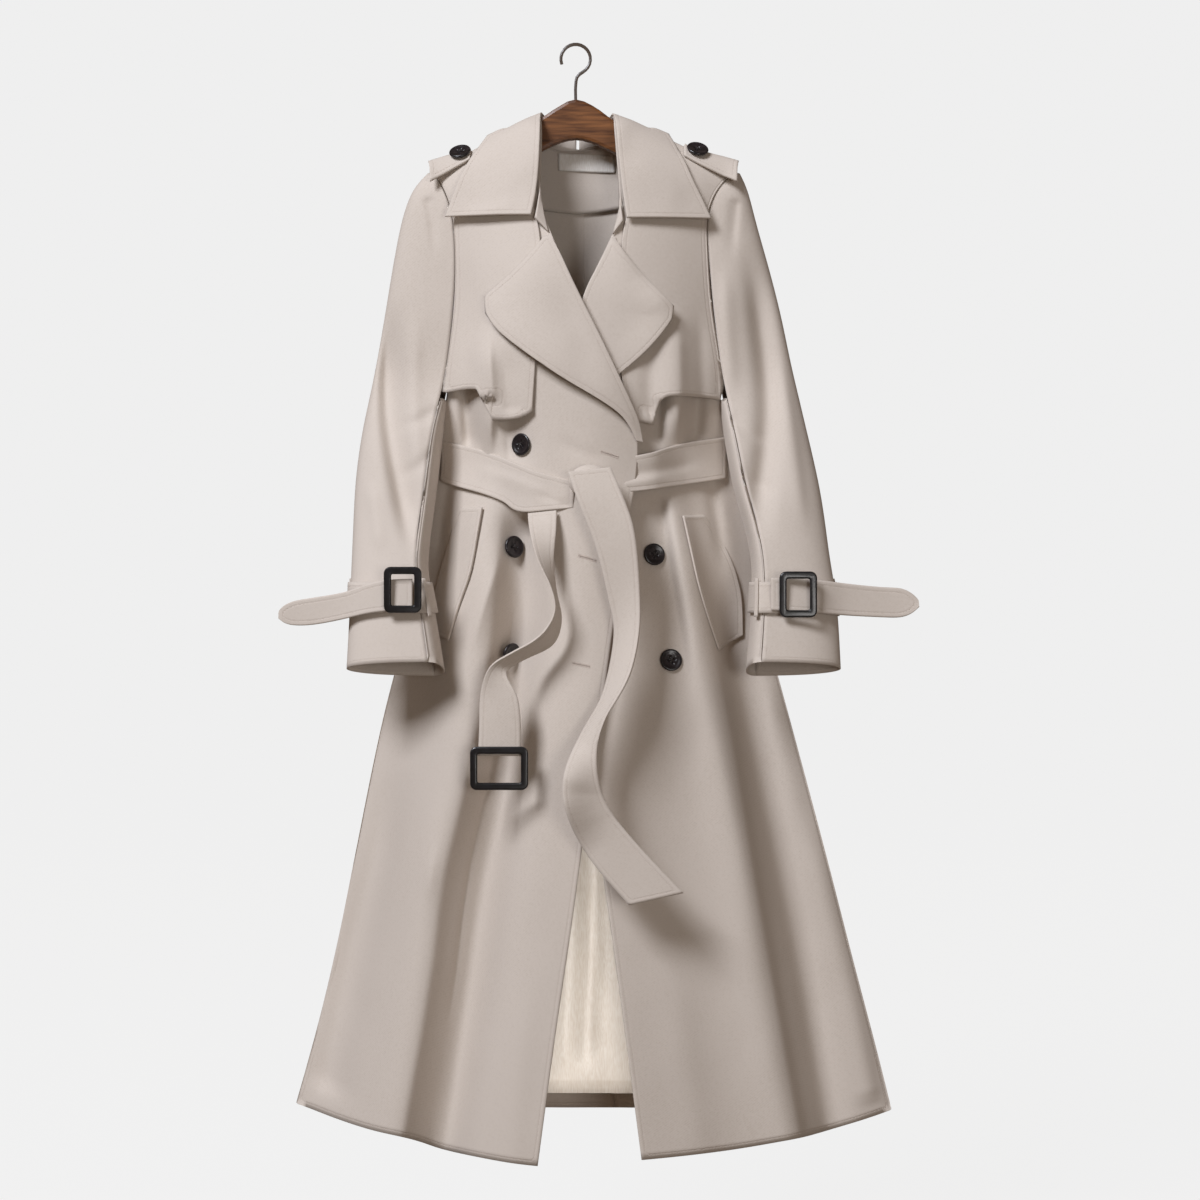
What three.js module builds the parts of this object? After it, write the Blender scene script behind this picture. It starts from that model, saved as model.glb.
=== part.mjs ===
// A belted trench coat hanging open on a wooden hanger.
// Millimetres, +Z up, the front faces -Y, the origin lies under the top of the hook.
import * as THREE from 'three';
import { mergeVertices } from 'three/addons/utils/BufferGeometryUtils.js';

// Driving dimensions
const WALL = 1.4; // one layer of shell cloth
const DOUBLE_WALL = 2; // two layers sewn together: collar, lapels, straps
const LINING_WALL = 1;
const LAYER = 3; // from the face of one layer to the face of the next
const OVERLAP_LIFT = 10.5; // the left front's face in front of the right front's
const SEAM = 0.3; // gap along a seam
const NECK_LEFT = -57;
const NECK_RIGHT = 60;
const NECK_Z = -89;
const NECK_RISE = 45; // how far the neck would go on above its seam
const NECK_DROP = 22; // from the shoulders' neck points down to the seam at the back
const SHOULDER_LEFT = -163;
const SHOULDER_RIGHT = 182;
const SHOULDER_Z = -145;
const SHOULDER_ROUND = 60; // height over which the cloth turns down from the shoulder
const CHEST_ROUND = 2; // how square the body is across the chest, and across the skirt
const SKIRT_ROUND = 1.6;
const SLEEVE_SEAM = 1.35; // half the gap between a sleeve's two pieces
const SHOULDER_SEAM = 1.3; // from the shoulder line to the face of front and back there
const UNDERARM_Z = -405;
const BUTTON_RADIUS = 12.5;
const STRAP_TOP_Z = -617;
const STRAP_BOTTOM_Z = -651;
const STRAP_LIFT = 4.2; // the cuff strap's face off the sleeve
const HOOK_RADIUS = 17;
const HOOK_WIRE = 2;
const WOOD_TOP_Z = -62;

const SHELL = { color: 0xcbbfb5, roughness: 0.85, metalness: 0 };
const LINING = { color: 0xe6ddd2, roughness: 0.5, metalness: 0 };
const LABEL = { color: 0xeeeae4, roughness: 0.7, metalness: 0 };
const WOOD = { color: 0x6b4023, roughness: 0.45, metalness: 0 };
const STEEL = { color: 0xb9bbbd, roughness: 0.3, metalness: 1 };
const BUCKLE = { color: 0x151517, roughness: 0.2, metalness: 0 };
const BUTTON = { color: 0x26232a, roughness: 0.4, metalness: 0 };

// The body from the shoulders to the hem: its sides, and how far front and back stand out.
// armFront and armBack are the depths of the armhole's edges, and below it of the side seam.
const BODY = [
  { z: -90, left: -163, right: 182, front: -30, back: 34, armFront: -14, armBack: 14 },
  { z: -140, left: -163, right: 182, front: -40, back: 37, armFront: -17, armBack: 17 },
  { z: -170, left: -148, right: 160, front: -49, back: 39, armFront: -22, armBack: 20 },
  { z: -205, left: -138, right: 148, front: -58, back: 42, armFront: -27, armBack: 24 },
  { z: -290, left: -135, right: 151, front: -70, back: 44, armFront: -31, armBack: 27 },
  { z: -400, left: -147, right: 165, front: -76, back: 42, armFront: -29, armBack: 25 },
  { z: -448, left: -143, right: 162, front: -78, back: 38, armFront: -3, armBack: 14 },
  { z: -500, left: -154, right: 174, front: -80, back: 38, armFront: 9, armBack: 14 },
  { z: -545, left: -163, right: 186, front: -86, back: 42, armFront: 9, armBack: 14 },
  { z: -637, left: -185, right: 209, front: -94, back: 46, armFront: 2, armBack: 5 },
  { z: -762, left: -219, right: 243, front: -103, back: 50, armFront: -2, armBack: 1 },
  { z: -935, left: -254, right: 289, front: -113, back: 52, armFront: -7, armBack: -4 },
  { z: -1062, left: -279, right: 321, front: -120, back: 52, armFront: -12, armBack: -9 },
  { z: -1146, left: -300, right: 343, front: -125, back: 50, armFront: -17, armBack: -14 },
  { z: -1250, left: -330, right: 368, front: -129, back: 48, armFront: -24, armBack: -21 },
];

// The neckline, the roll of the lapel and the front edge, on each side
const FRONT_EDGE_LEFT = [
  { z: -89, x: -57 }, { z: -130, x: -52 }, { z: -190, x: -40 }, { z: -224, x: -28 },
  { z: -304, x: 8 }, { z: -391, x: 48 }, { z: -440, x: 68 }, { z: -480, x: 67 },
  { z: -560, x: 56 }, { z: -648, x: 43 }, { z: -758, x: 29 }, { z: -908, x: 9 },
  { z: -988, x: -1 }, { z: -1081, x: -15 }, { z: -1250, x: -38 },
];
const FRONT_EDGE_RIGHT = [
  { z: -89, x: 60 }, { z: -130, x: 66 }, { z: -190, x: 56 }, { z: -226, x: 43 },
  { z: -294, x: 11 }, { z: -380, x: -15 }, { z: -479, x: -45 }, { z: -700, x: -8 },
  { z: -940, x: 32 }, { z: -1040, x: 46 }, { z: -1128, x: 58 }, { z: -1250, x: 74 },
];
const CENTRE_BACK = [{ z: -90, x: 2 }, { z: -200, x: 9 }, { z: -940, x: 29 }, { z: -1250, x: 47 }];

// The front's hem; it rises by a share of a fold's height, because the fold takes cloth up.
const HEM_EASE = 0.28;
const HEM_FRONT = [
  { x: -330, z: -1210 }, { x: -272, z: -1219 }, { x: -195, z: -1231 }, { x: -110, z: -1243 },
  { x: -38, z: -1249 }, { x: 74, z: -1245 }, { x: 186, z: -1240 }, { x: 260, z: -1234 },
  { x: 320, z: -1226 }, { x: 370, z: -1217 },
];
const HEM_BACK = [
  { x: -330, z: -1210 }, { x: -200, z: -1224 }, { x: 20, z: -1233 },
  { x: 230, z: -1228 }, { x: 370, z: -1217 },
];

// The large folds of the front. Height is how far the ridge stands out, below zero a valley.
const FOLDS = [
  {
    height: 18, leftWidth: 50, rightWidth: 15, fadeTop: -470, fadeLength: 90,
    path: [
      { z: -430, x: -92 }, { z: -527, x: -93 }, { z: -700, x: -103 }, { z: -833, x: -126 },
      { z: -946, x: -152 }, { z: -1059, x: -169 }, { z: -1250, x: -204 },
    ],
  },
  {
    height: -19, leftWidth: 17, rightWidth: 42, fadeTop: -500, fadeLength: 260,
    path: [
      { z: -430, x: -60 }, { z: -700, x: -72 }, { z: -833, x: -92 }, { z: -946, x: -116 },
      { z: -1059, x: -130 }, { z: -1250, x: -152 },
    ],
  },
  {
    height: -8, leftWidth: 26, rightWidth: 22, fadeTop: -760, fadeLength: 150,
    path: [{ z: -760, x: -196 }, { z: -875, x: -214 }, { z: -976, x: -236 }, { z: -1250, x: -300 }],
  },
  {
    height: 16, leftWidth: 34, rightWidth: 16, fadeTop: -470, fadeLength: 120,
    path: [
      { z: -430, x: 104 }, { z: -516, x: 108 }, { z: -681, x: 135 }, { z: -775, x: 154 },
      { z: -869, x: 172 }, { z: -981, x: 190 }, { z: -1131, x: 214 }, { z: -1250, x: 238 },
    ],
  },
  {
    height: -15, leftWidth: 16, rightWidth: 34, fadeTop: -560, fadeLength: 200,
    path: [
      { z: -500, x: 146 }, { z: -681, x: 176 }, { z: -813, x: 200 }, { z: -927, x: 224 },
      { z: -1078, x: 252 }, { z: -1250, x: 280 },
    ],
  },
];

// The sleeves: outside and inside, the seam between upper and under piece, and its depths
const SLEEVE_LEFT = [
  { z: -146, outer: -168, seam: -163, inner: -159, front: -5, back: 5 },
  { z: -158, outer: -181, seam: -156, inner: -152, front: -16, back: 14 },
  { z: -170, outer: -189, seam: -148, inner: -144, front: -22, back: 20 },
  { z: -205, outer: -200, seam: -138, inner: -134, front: -27, back: 24 },
  { z: -257, outer: -210, seam: -135, inner: -131, front: -30, back: 27 },
  { z: -312, outer: -219, seam: -138, inner: -133, front: -31, back: 27 },
  { z: -380, outer: -231, seam: -146, inner: -141, front: -30, back: 26 },
  { z: -405, outer: -236, seam: -151, inner: -146, front: -36, back: 26 },
  { z: -447, outer: -243, seam: -160, inner: -152, front: -56, back: 18 },
  { z: -514, outer: -249, seam: -167, inner: -158, front: -75, back: 1 },
  { z: -560, outer: -249, seam: -172, inner: -163, front: -89, back: -12 },
  { z: -598, outer: -249, seam: -175, inner: -166, front: -101, back: -26 },
  { z: -640, outer: -249, seam: -168, inner: -158, front: -114, back: -41 },
  { z: -712, outer: -251, seam: -156, inner: -144, front: -130, back: -57 },
];
const SLEEVE_RIGHT = [
  { z: -146, outer: 187, seam: 182, inner: 178, front: -5, back: 5 },
  { z: -158, outer: 194, seam: 170, inner: 166, front: -16, back: 14 },
  { z: -170, outer: 198, seam: 160, inner: 156, front: -22, back: 20 },
  { z: -205, outer: 207, seam: 148, inner: 144, front: -27, back: 24 },
  { z: -257, outer: 222, seam: 151, inner: 145, front: -30, back: 27 },
  { z: -312, outer: 236, seam: 156, inner: 148, front: -31, back: 27 },
  { z: -380, outer: 250, seam: 165, inner: 159, front: -30, back: 26 },
  { z: -405, outer: 256, seam: 170, inner: 164, front: -36, back: 26 },
  { z: -447, outer: 264, seam: 178, inner: 170, front: -56, back: 18 },
  { z: -514, outer: 277, seam: 190, inner: 181, front: -75, back: 1 },
  { z: -560, outer: 282, seam: 202, inner: 193, front: -89, back: -12 },
  { z: -598, outer: 285, seam: 208, inner: 199, front: -101, back: -26 },
  { z: -640, outer: 291, seam: 207, inner: 197, front: -114, back: -41 },
  { z: -712, outer: 293, seam: 201, inner: 190, front: -130, back: -57 },
];
const CUFF_FRONT_Z = -704;
const CUFF_BACK_Z = -722;

// The collar: its roll, the outer edge of the fall, and the seam to the neck.
// Rows run from the front end to the middle of the back.
const COLLAR_LEFT = [
  { roll: [-49, -70, -207], edge: [-147, -41, -204], neck: [-33, -66, -224] },
  { roll: [-44, -58, -180], edge: [-139, -40, -182], neck: [-42, -58, -190] },
  { roll: [-41, -45, -146], edge: [-130, -37, -158], neck: [-50, -42, -145] },
  { roll: [-40, -24, -93], edge: [-118, -24, -132], neck: [-55, -26, -104] },
  { roll: [-40, 0, -75], edge: [-97, 2, -107], neck: [-56, 0, -81] },
  { roll: [-34, 30, -76], edge: [-86, 38, -124], neck: [-44, 31, -95] },
  { roll: [-18, 45, -83], edge: [-48, 58, -144], neck: [-20, 40, -106] },
  { roll: [0, 50, -86], edge: [0, 63, -152], neck: [0, 43, -110] },
];
const COLLAR_RIGHT = [
  { roll: [58, -66, -210], edge: [154, -41, -206], neck: [46, -62, -226] },
  { roll: [54, -56, -182], edge: [144, -40, -184], neck: [56, -55, -190] },
  { roll: [50, -45, -146], edge: [132, -37, -159], neck: [63, -42, -145] },
  { roll: [46, -24, -94], edge: [122, -24, -134], neck: [61, -26, -104] },
  { roll: [43, 0, -76], edge: [103, 2, -107], neck: [59, 0, -81] },
  { roll: [38, 30, -76], edge: [92, 38, -124], neck: [48, 32, -95] },
  { roll: [22, 45, -83], edge: [54, 58, -144], neck: [24, 40, -106] },
  { roll: [4, 50, -86], edge: [4, 63, -152], neck: [4, 43, -110] },
];

// The lapels, from the notch to the point where they break from the front edge
const LAPEL_LEFT = [
  { rollX: -26, rollZ: -232, edgeX: -34, edgeZ: -235 },
  { rollX: -14, rollZ: -256, edgeX: -60, edgeZ: -270 },
  { rollX: -2, rollZ: -284, edgeX: -99, edgeZ: -303 },
  { rollX: 14, rollZ: -318, edgeX: -84, edgeZ: -335 },
  { rollX: 30, rollZ: -352, edgeX: -41, edgeZ: -371 },
  { rollX: 45, rollZ: -386, edgeX: -8, edgeZ: -396 },
  { rollX: 58, rollZ: -416, edgeX: 30, edgeZ: -419 },
  { rollX: 66, rollZ: -438, edgeX: 52, edgeZ: -437 },
  { rollX: 69, rollZ: -462, edgeX: 63, edgeZ: -461 },
];
const LAPEL_RIGHT = [
  { rollX: 40, rollZ: -232, edgeX: 46, edgeZ: -240 },
  { rollX: 33, rollZ: -250, edgeX: 80, edgeZ: -284 },
  { rollX: 24, rollZ: -268, edgeX: 108, edgeZ: -314 },
  { rollX: 12, rollZ: -292, edgeX: 86, edgeZ: -351 },
  { rollX: 2, rollZ: -326, edgeX: 52, edgeZ: -384 },
  { rollX: -8, rollZ: -360, edgeX: 22, edgeZ: -406 },
  { rollX: -20, rollZ: -398, edgeX: -2, edgeZ: -424 },
];

const FLAP_LEFT = {
  inner: [
    { z: -89, x: -66 }, { z: -190, x: -48 }, { z: -226, x: -38 }, { z: -280, x: -35 },
    { z: -371, x: -41 }, { z: -436, x: -44 },
  ],
  hem: [
    { x: -147, z: -402 }, { x: -117, z: -400 }, { x: -100, z: -402 }, { x: -89, z: -428 },
    { x: -80, z: -433 }, { x: -56, z: -434 }, { x: -44, z: -427 },
  ],
};
const FLAP_RIGHT = {
  inner: [
    { z: -89, x: 72 }, { z: -130, x: 76 }, { z: -190, x: 62 }, { z: -230, x: 52 },
    { z: -391, x: 50 }, { z: -441, x: 66 },
  ],
  hem: [
    { x: 66, z: -438 }, { x: 77, z: -441 }, { x: 86, z: -418 }, { x: 96, z: -409 },
    { x: 130, z: -407 }, { x: 166, z: -409 },
  ],
};

// The belt round the waist: the heights of its two edges at each place across
const BELT_FRONT_LEFT = [
  { x: -144, top: -452, bottom: -500 }, { x: -88, top: -472, bottom: -526 },
  { x: -50, top: -489, bottom: -541 }, { x: -12, top: -508, bottom: -537 },
];
const BELT_FRONT_RIGHT = [
  { x: 48, top: -488, bottom: -522 }, { x: 67, top: -478, bottom: -520 },
  { x: 104, top: -464, bottom: -512 }, { x: 158, top: -449, bottom: -499 },
];
const BELT_BACK = [
  { x: -147, top: -453, bottom: -502 }, { x: 10, top: -462, bottom: -512 },
  { x: 166, top: -450, bottom: -500 },
];
const KNOT = { x: 17, y: -102, z: -507, width: 50, depth: 20, height: 40 };

// The two tails: left and right edge of the ribbon, row by row
const TAIL_WIDE = [
  { left: [-7, -112.6, -497], right: [40, -112.6, -492] },
  { left: [4, -122, -530], right: [53, -121, -524] },
  { left: [24, -126, -581], right: [65, -127, -560] },
  { left: [37, -126, -636], right: [71, -130, -630] },
  { left: [43, -124, -668], right: [70, -138, -672] },
  { left: [38, -124, -708], right: [60, -150, -716] },
  { left: [28, -130, -744], right: [46, -156, -742] },
  { left: [8, -142, -778], right: [34, -160, -762] },
  { left: [-11, -152, -822], right: [24, -160, -800] },
  { left: [-10, -156, -860], right: [33, -158, -852] },
  { left: [14, -156, -910], right: [66, -158, -896] },
  { left: [59, -158, -963], right: [117, -158, -950] },
];
const TAIL_BUCKLE = [
  { left: [-52, -82.6, -540.8], right: [-20, -94.1, -538.2] },
  { left: [-50, -102, -556], right: [-20, -106, -560] },
  { left: [-40, -132, -592], right: [-22, -116, -596] },
  { left: [-24, -138, -624], right: [-19, -116, -628] },
  { left: [-20, -140, -650], right: [-13, -118, -658] },
  { left: [-36, -140, -676], right: [-22, -116, -686] },
  { left: [-66, -136, -694], right: [-54, -116, -702] },
  { left: [-92, -130, -710], right: [-74, -124, -716] },
  { left: [-102, -123, -738], right: [-62, -130, -740] },
  { left: [-103, -125, -770], right: [-58, -130, -770] },
  { left: [-104, -128, -806], right: [-58, -128, -806] },
];

// The cuffs: the strap's free tails, edge by edge, and where each buckle lies
const CUFF_TAIL_LEFT = [
  { left: [-176, -120.3, -614], right: [-176, -122.8, -648] },
  { left: [-205, -118.4, -615], right: [-205, -120.9, -649] },
  { left: [-228, -112.5, -620], right: [-228, -115, -652] },
  { left: [-250, -103, -628], right: [-250, -105, -657] },
  { left: [-285, -96, -634], right: [-285, -97, -664] },
  { left: [-309, -94, -638], right: [-309, -95, -665] },
  { left: [-320, -94, -643], right: [-320, -95, -662] },
  { left: [-326, -94, -649], right: [-326, -95, -657] },
];
const CUFF_TAIL_RIGHT = [
  { left: [214, -120.1, -613], right: [214, -123.1, -648] },
  { left: [250, -117.2, -614], right: [250, -120.2, -650] },
  { left: [275, -109.6, -616], right: [275, -112.6, -652] },
  { left: [299, -101, -619], right: [299, -103, -654] },
  { left: [340, -95, -623], right: [340, -97, -656] },
  { left: [360, -94, -624], right: [360, -96, -656] },
  { left: [372, -94, -630], right: [372, -96, -651] },
  { left: [379, -94, -637], right: [379, -96, -644] },
];
const CUFF_BUCKLE = { width: 41, height: 50, rim: 8, thickness: 4, round: 6 };
const CUFF_BUCKLES = [
  { side: 'left', x: -186, y: -125.4, z: -626 },
  { side: 'right', x: 243, y: -125.4, z: -631 },
];
const BELT_BUCKLE = { width: 63, height: 47, rim: 8, thickness: 5, round: 6 };
const BELT_BUCKLE_AT = { x: -81, y: -132, z: -819 };

// The front buttons; seat is the distance from the cloth's highest point under the rim.
const BUTTONS = [
  { x: -53, z: -464, seat: -0.7, onLeft: true },
  { x: -66, z: -579, seat: 0.9, onLeft: true },
  { x: -85, z: -695, seat: -4.5, onLeft: true },
  { x: 87, z: -587, seat: 0.4, onLeft: false },
  { x: 106, z: -704, seat: 0.4, onLeft: false },
];

// The shoulder straps run from the sleeve head to under the collar.
const EPAULETTE_LEFT = { end: -163, start: -118, button: -128 };
const EPAULETTE_RIGHT = { end: 182, start: 122, button: 136 };
const EPAULETTE_SPREAD = 0.82;
const STRAP_RISE = 7; // the strap stands off the gathered sleeve head at its outer end

// The slanted pocket welts: inner and outer edge from top to bottom
const POCKET_LEFT = [
  { innerX: -98, innerZ: -536, outerX: -128, outerZ: -534 },
  { innerX: -104, innerZ: -575, outerX: -141, outerZ: -572 },
  { innerX: -110, innerZ: -609, outerX: -152, outerZ: -608 },
  { innerX: -122, innerZ: -642, outerX: -160, outerZ: -640 },
  { innerX: -135, innerZ: -684, outerX: -168, outerZ: -670 },
];
const POCKET_RIGHT = [
  { innerX: 119, innerZ: -543, outerX: 144, outerZ: -541 },
  { innerX: 128, innerZ: -585, outerX: 171, outerZ: -580 },
  { innerX: 136, innerZ: -620, outerX: 184, outerZ: -614 },
  { innerX: 145, innerZ: -650, outerX: 189, outerZ: -642 },
  { innerX: 160, innerZ: -694, outerX: 190, outerZ: -678 },
];

// Small shape helpers
function track(rows, from, to) {
  const sorted = [...rows].sort((a, b) => a[from] - b[from]);
  const xs = sorted.map((row) => row[from]);
  const ys = sorted.map((row) => row[to]);
  const slope = (i) => (ys[i + 1] - ys[i]) / (xs[i + 1] - xs[i]);
  const tangent = (i) => {
    if (i === 0) return slope(0);
    if (i === xs.length - 1) return slope(i - 1);
    const before = slope(i - 1);
    const after = slope(i);
    return before * after <= 0 ? 0 : (2 * before * after) / (before + after);
  };
  return (at) => {
    if (at <= xs[0]) return ys[0];
    if (at >= xs[xs.length - 1]) return ys[ys.length - 1];
    let i = 0;
    while (at > xs[i + 1]) i += 1;
    const span = xs[i + 1] - xs[i];
    const t = (at - xs[i]) / span;
    const rise = t * t * (3 - 2 * t);
    const startPull = t * (1 - t) * (1 - t) * span * tangent(i);
    const endPull = -t * t * (1 - t) * span * tangent(i + 1);
    return ys[i] + (ys[i + 1] - ys[i]) * rise + startPull + endPull;
  };
}

function curveThrough(points) {
  return new THREE.CatmullRomCurve3(points.map((p) => new THREE.Vector3(...p)), false, 'centripetal');
}

function mix(a, b, t) {
  return a + (b - a) * t;
}

function smoothStep(from, to, value) {
  const t = THREE.MathUtils.clamp((value - from) / (to - from), 0, 1);
  return t * t * (3 - 2 * t);
}

// Body surfaces
const bodyLeft = track(BODY, 'z', 'left');
const bodyRight = track(BODY, 'z', 'right');
const bodyFront = track(BODY, 'z', 'front');
const bodyBack = track(BODY, 'z', 'back');
const armFront = track(BODY, 'z', 'armFront');
const armBack = track(BODY, 'z', 'armBack');
const hemFront = track(HEM_FRONT, 'x', 'z');
const hemBack = track(HEM_BACK, 'x', 'z');
const frontEdgeLeft = track(FRONT_EDGE_LEFT, 'z', 'x');
const frontEdgeRight = track(FRONT_EDGE_RIGHT, 'z', 'x');
const centreBack = track(CENTRE_BACK, 'z', 'x');
const foldLines = FOLDS.map((fold) => ({ ...fold, line: track(fold.path, 'z', 'x') }));

function shoulderLine(x) {
  if (x <= NECK_LEFT) {
    return mix(NECK_Z, SHOULDER_Z, (NECK_LEFT - x) / (NECK_LEFT - SHOULDER_LEFT));
  }
  if (x >= NECK_RIGHT) {
    return mix(NECK_Z, SHOULDER_Z, (x - NECK_RIGHT) / (SHOULDER_RIGHT - NECK_RIGHT));
  }
  return NECK_Z;
}

// 1 in the middle of the neck and 0 beyond it
function neckShare(x) {
  const across = x < 0 ? x / NECK_LEFT : x / NECK_RIGHT;
  return Math.cos(Math.min(across, 1) * Math.PI / 2);
}

function overShoulder(x, z) {
  const ridge = shoulderLine(x) + NECK_RISE * neckShare(x);
  const down = THREE.MathUtils.clamp((ridge - z) / SHOULDER_ROUND, 0, 1);
  return Math.sqrt(1 - (1 - down) * (1 - down));
}

function bulge(x, z) {
  const across = (2 * x - bodyLeft(z) - bodyRight(z)) / (bodyRight(z) - bodyLeft(z));
  const square = mix(CHEST_ROUND, SKIRT_ROUND, smoothStep(-405, -545, z));
  return 1 - Math.min(Math.abs(across), 1) ** square;
}

function foldHeight(x, z) {
  return foldLines.reduce((sum, fold) => {
    const away = x - fold.line(z);
    const width = away < 0 ? fold.leftWidth : fold.rightWidth;
    const fade = smoothStep(fold.fadeTop, fold.fadeTop - fold.fadeLength, z);
    return sum + fold.height * fade * Math.exp(-((away / width) ** 2));
  }, 0);
}

function frontY(x, z) {
  const sideFade = smoothStep(0, 40, Math.min(x - bodyLeft(z), bodyRight(z) - x));
  const flat = mix(armFront(z), bodyFront(z), bulge(x, z)) - foldHeight(x, z) * sideFade;
  return Math.min(flat * overShoulder(x, z), -SHOULDER_SEAM);
}

function backY(x, z) {
  const flat = mix(armBack(z), bodyBack(z), bulge(x, z)) * overShoulder(x, z);
  return z > UNDERARM_Z ? Math.max(flat, SHOULDER_SEAM) : flat;
}

// A point lifted off the front or the back, square to its surface
function lifted(depth, x, z, lift, outwards) {
  const step = 2;
  const acrossSlope = (depth(x + step, z) - depth(x - step, z)) / (2 * step);
  const downSlope = (depth(x, z + step) - depth(x, z - step)) / (2 * step);
  const normal = new THREE.Vector3(-acrossSlope, 1, -downSlope).normalize();
  const point = new THREE.Vector3(x, depth(x, z), z);
  return point.addScaledVector(normal, lift * outwards).toArray();
}

function onFront(x, z, lift) {
  return lifted(frontY, x, z, lift, -1);
}

function onBack(x, z, lift) {
  return lifted(backY, x, z, lift, 1);
}

// The left front lies over the right one, and comes down to it towards the side and shoulder.
function leftLift(x, z) {
  return OVERLAP_LIFT * smoothStep(0, 90, x - bodyLeft(z)) * smoothStep(-180, -285, z);
}

// How far the loose lower edge of a storm flap stands off the chest
function flapOpening(x, z) {
  const fromArms = Math.min(x - bodyLeft(z), bodyRight(z) - x);
  const fromMiddle = Math.max(-40 - x, x - 62);
  return 7 * smoothStep(-290, -405, z) * smoothStep(0, 50, fromArms) * smoothStep(0, 50, fromMiddle);
}

// Solids from a grid of points: the visible face, and a wall behind it
function gridPoints(pointAt, columns, rows) {
  const grid = [];
  for (let j = 0; j <= rows; j += 1) {
    const row = [];
    for (let i = 0; i <= columns; i += 1) {
      row.push(new THREE.Vector3(...pointAt(i / columns, j / rows)));
    }
    grid.push(row);
  }
  return grid;
}

function gridNormals(grid) {
  const last = grid.length - 1;
  const end = grid[0].length - 1;
  return grid.map((row, j) => row.map((point, i) => {
    const across = row[Math.min(i + 1, end)].clone().sub(row[Math.max(i - 1, 0)]);
    const along = grid[Math.min(j + 1, last)][i].clone().sub(grid[Math.max(j - 1, 0)][i]);
    return across.cross(along).normalize();
  }));
}

function pushQuad(triangles, a, b, c, d) {
  triangles.push(a, b, c, a, c, d);
}

function wallGeometry(pointAt, columns, rows, wall, outward) {
  const grid = gridPoints(pointAt, columns, rows);
  const normals = gridNormals(grid);
  const middle = normals[Math.round(rows / 2)][Math.round(columns / 2)];
  const turned = middle.dot(new THREE.Vector3(...outward)) < 0;
  const inward = turned ? wall : -wall;
  const positions = [];
  const pushPoint = (point) => positions.push(point.x, point.y, point.z);
  grid.forEach((row) => row.forEach(pushPoint));
  grid.forEach((row, j) => row.forEach((point, i) => {
    pushPoint(point.clone().addScaledVector(normals[j][i], inward));
  }));
  const across = columns + 1;
  const count = across * (rows + 1);
  const triangles = [];
  for (let j = 0; j < rows; j += 1) {
    for (let i = 0; i < columns; i += 1) {
      const a = j * across + i;
      const b = a + 1;
      const c = b + across;
      const d = a + across;
      pushQuad(triangles, a, b, c, d);
      pushQuad(triangles, count + d, count + c, count + b, count + a);
    }
  }
  const border = [];
  for (let i = 0; i < columns; i += 1) border.push(i);
  for (let j = 0; j < rows; j += 1) border.push(j * across + columns);
  for (let i = columns; i > 0; i -= 1) border.push(rows * across + i);
  for (let j = rows; j > 0; j -= 1) border.push(j * across);
  border.forEach((from, i) => {
    const to = border[(i + 1) % border.length];
    pushQuad(triangles, to, from, count + from, count + to);
  });
  if (turned) triangles.reverse();
  const geometry = new THREE.BufferGeometry();
  geometry.setAttribute('position', new THREE.Float32BufferAttribute(positions, 3));
  geometry.setIndex(triangles);
  return geometry;
}

const coat = new THREE.Group();

function add(name, geometry, look) {
  geometry.deleteAttribute('normal');
  geometry.deleteAttribute('uv');
  const merged = mergeVertices(geometry, 1e-4);
  merged.computeVertexNormals();
  const mesh = new THREE.Mesh(merged, new THREE.MeshStandardMaterial(look));
  mesh.name = name;
  coat.add(mesh);
}

// A panel hangs from its top line to its hem, between a left and a right edge.
function panel(top, hem, left, right, place) {
  const hemLeft = left(-1250);
  const hemRight = right(-1250);
  return (u, v) => {
    const topX = mix(left(-80), right(-80), u);
    const hemX = mix(hemLeft, hemRight, u);
    const z = mix(top(topX), hem(hemX), v ** 1.7);
    const x = mix(left(z), right(z), u);
    return place(x, z);
  };
}

const TO_FRONT = [0, -1, 0];
const TO_BACK = [0, 1, 0];

function addFronts() {
  const placeLeft = (x, z) => onFront(x, z, leftLift(x, z));
  const placeRight = (x, z) => onFront(x, z, 0);
  const evenHem = (x) => hemFront(x) + HEM_EASE * foldHeight(x, hemFront(x));
  const leftPanel = panel(shoulderLine, evenHem, bodyLeft, frontEdgeLeft, placeLeft);
  const rightPanel = panel(shoulderLine, evenHem, frontEdgeRight, bodyRight, placeRight);
  add('front_left', wallGeometry(leftPanel, 13, 28, WALL, TO_FRONT), SHELL);
  add('front_right', wallGeometry(rightPanel, 13, 28, WALL, TO_FRONT), SHELL);
}

function backTop(x) {
  return shoulderLine(x) - NECK_DROP * neckShare(x);
}

function addBacks() {
  const place = (x, z) => onBack(x, z, 0);
  const left = panel(backTop, hemBack, bodyLeft, (z) => centreBack(z) - SEAM, place);
  const right = panel(backTop, hemBack, (z) => centreBack(z) + SEAM, bodyRight, place);
  add('back_left', wallGeometry(left, 8, 18, WALL, TO_BACK), SHELL);
  add('back_right', wallGeometry(right, 8, 18, WALL, TO_BACK), SHELL);
}

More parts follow.
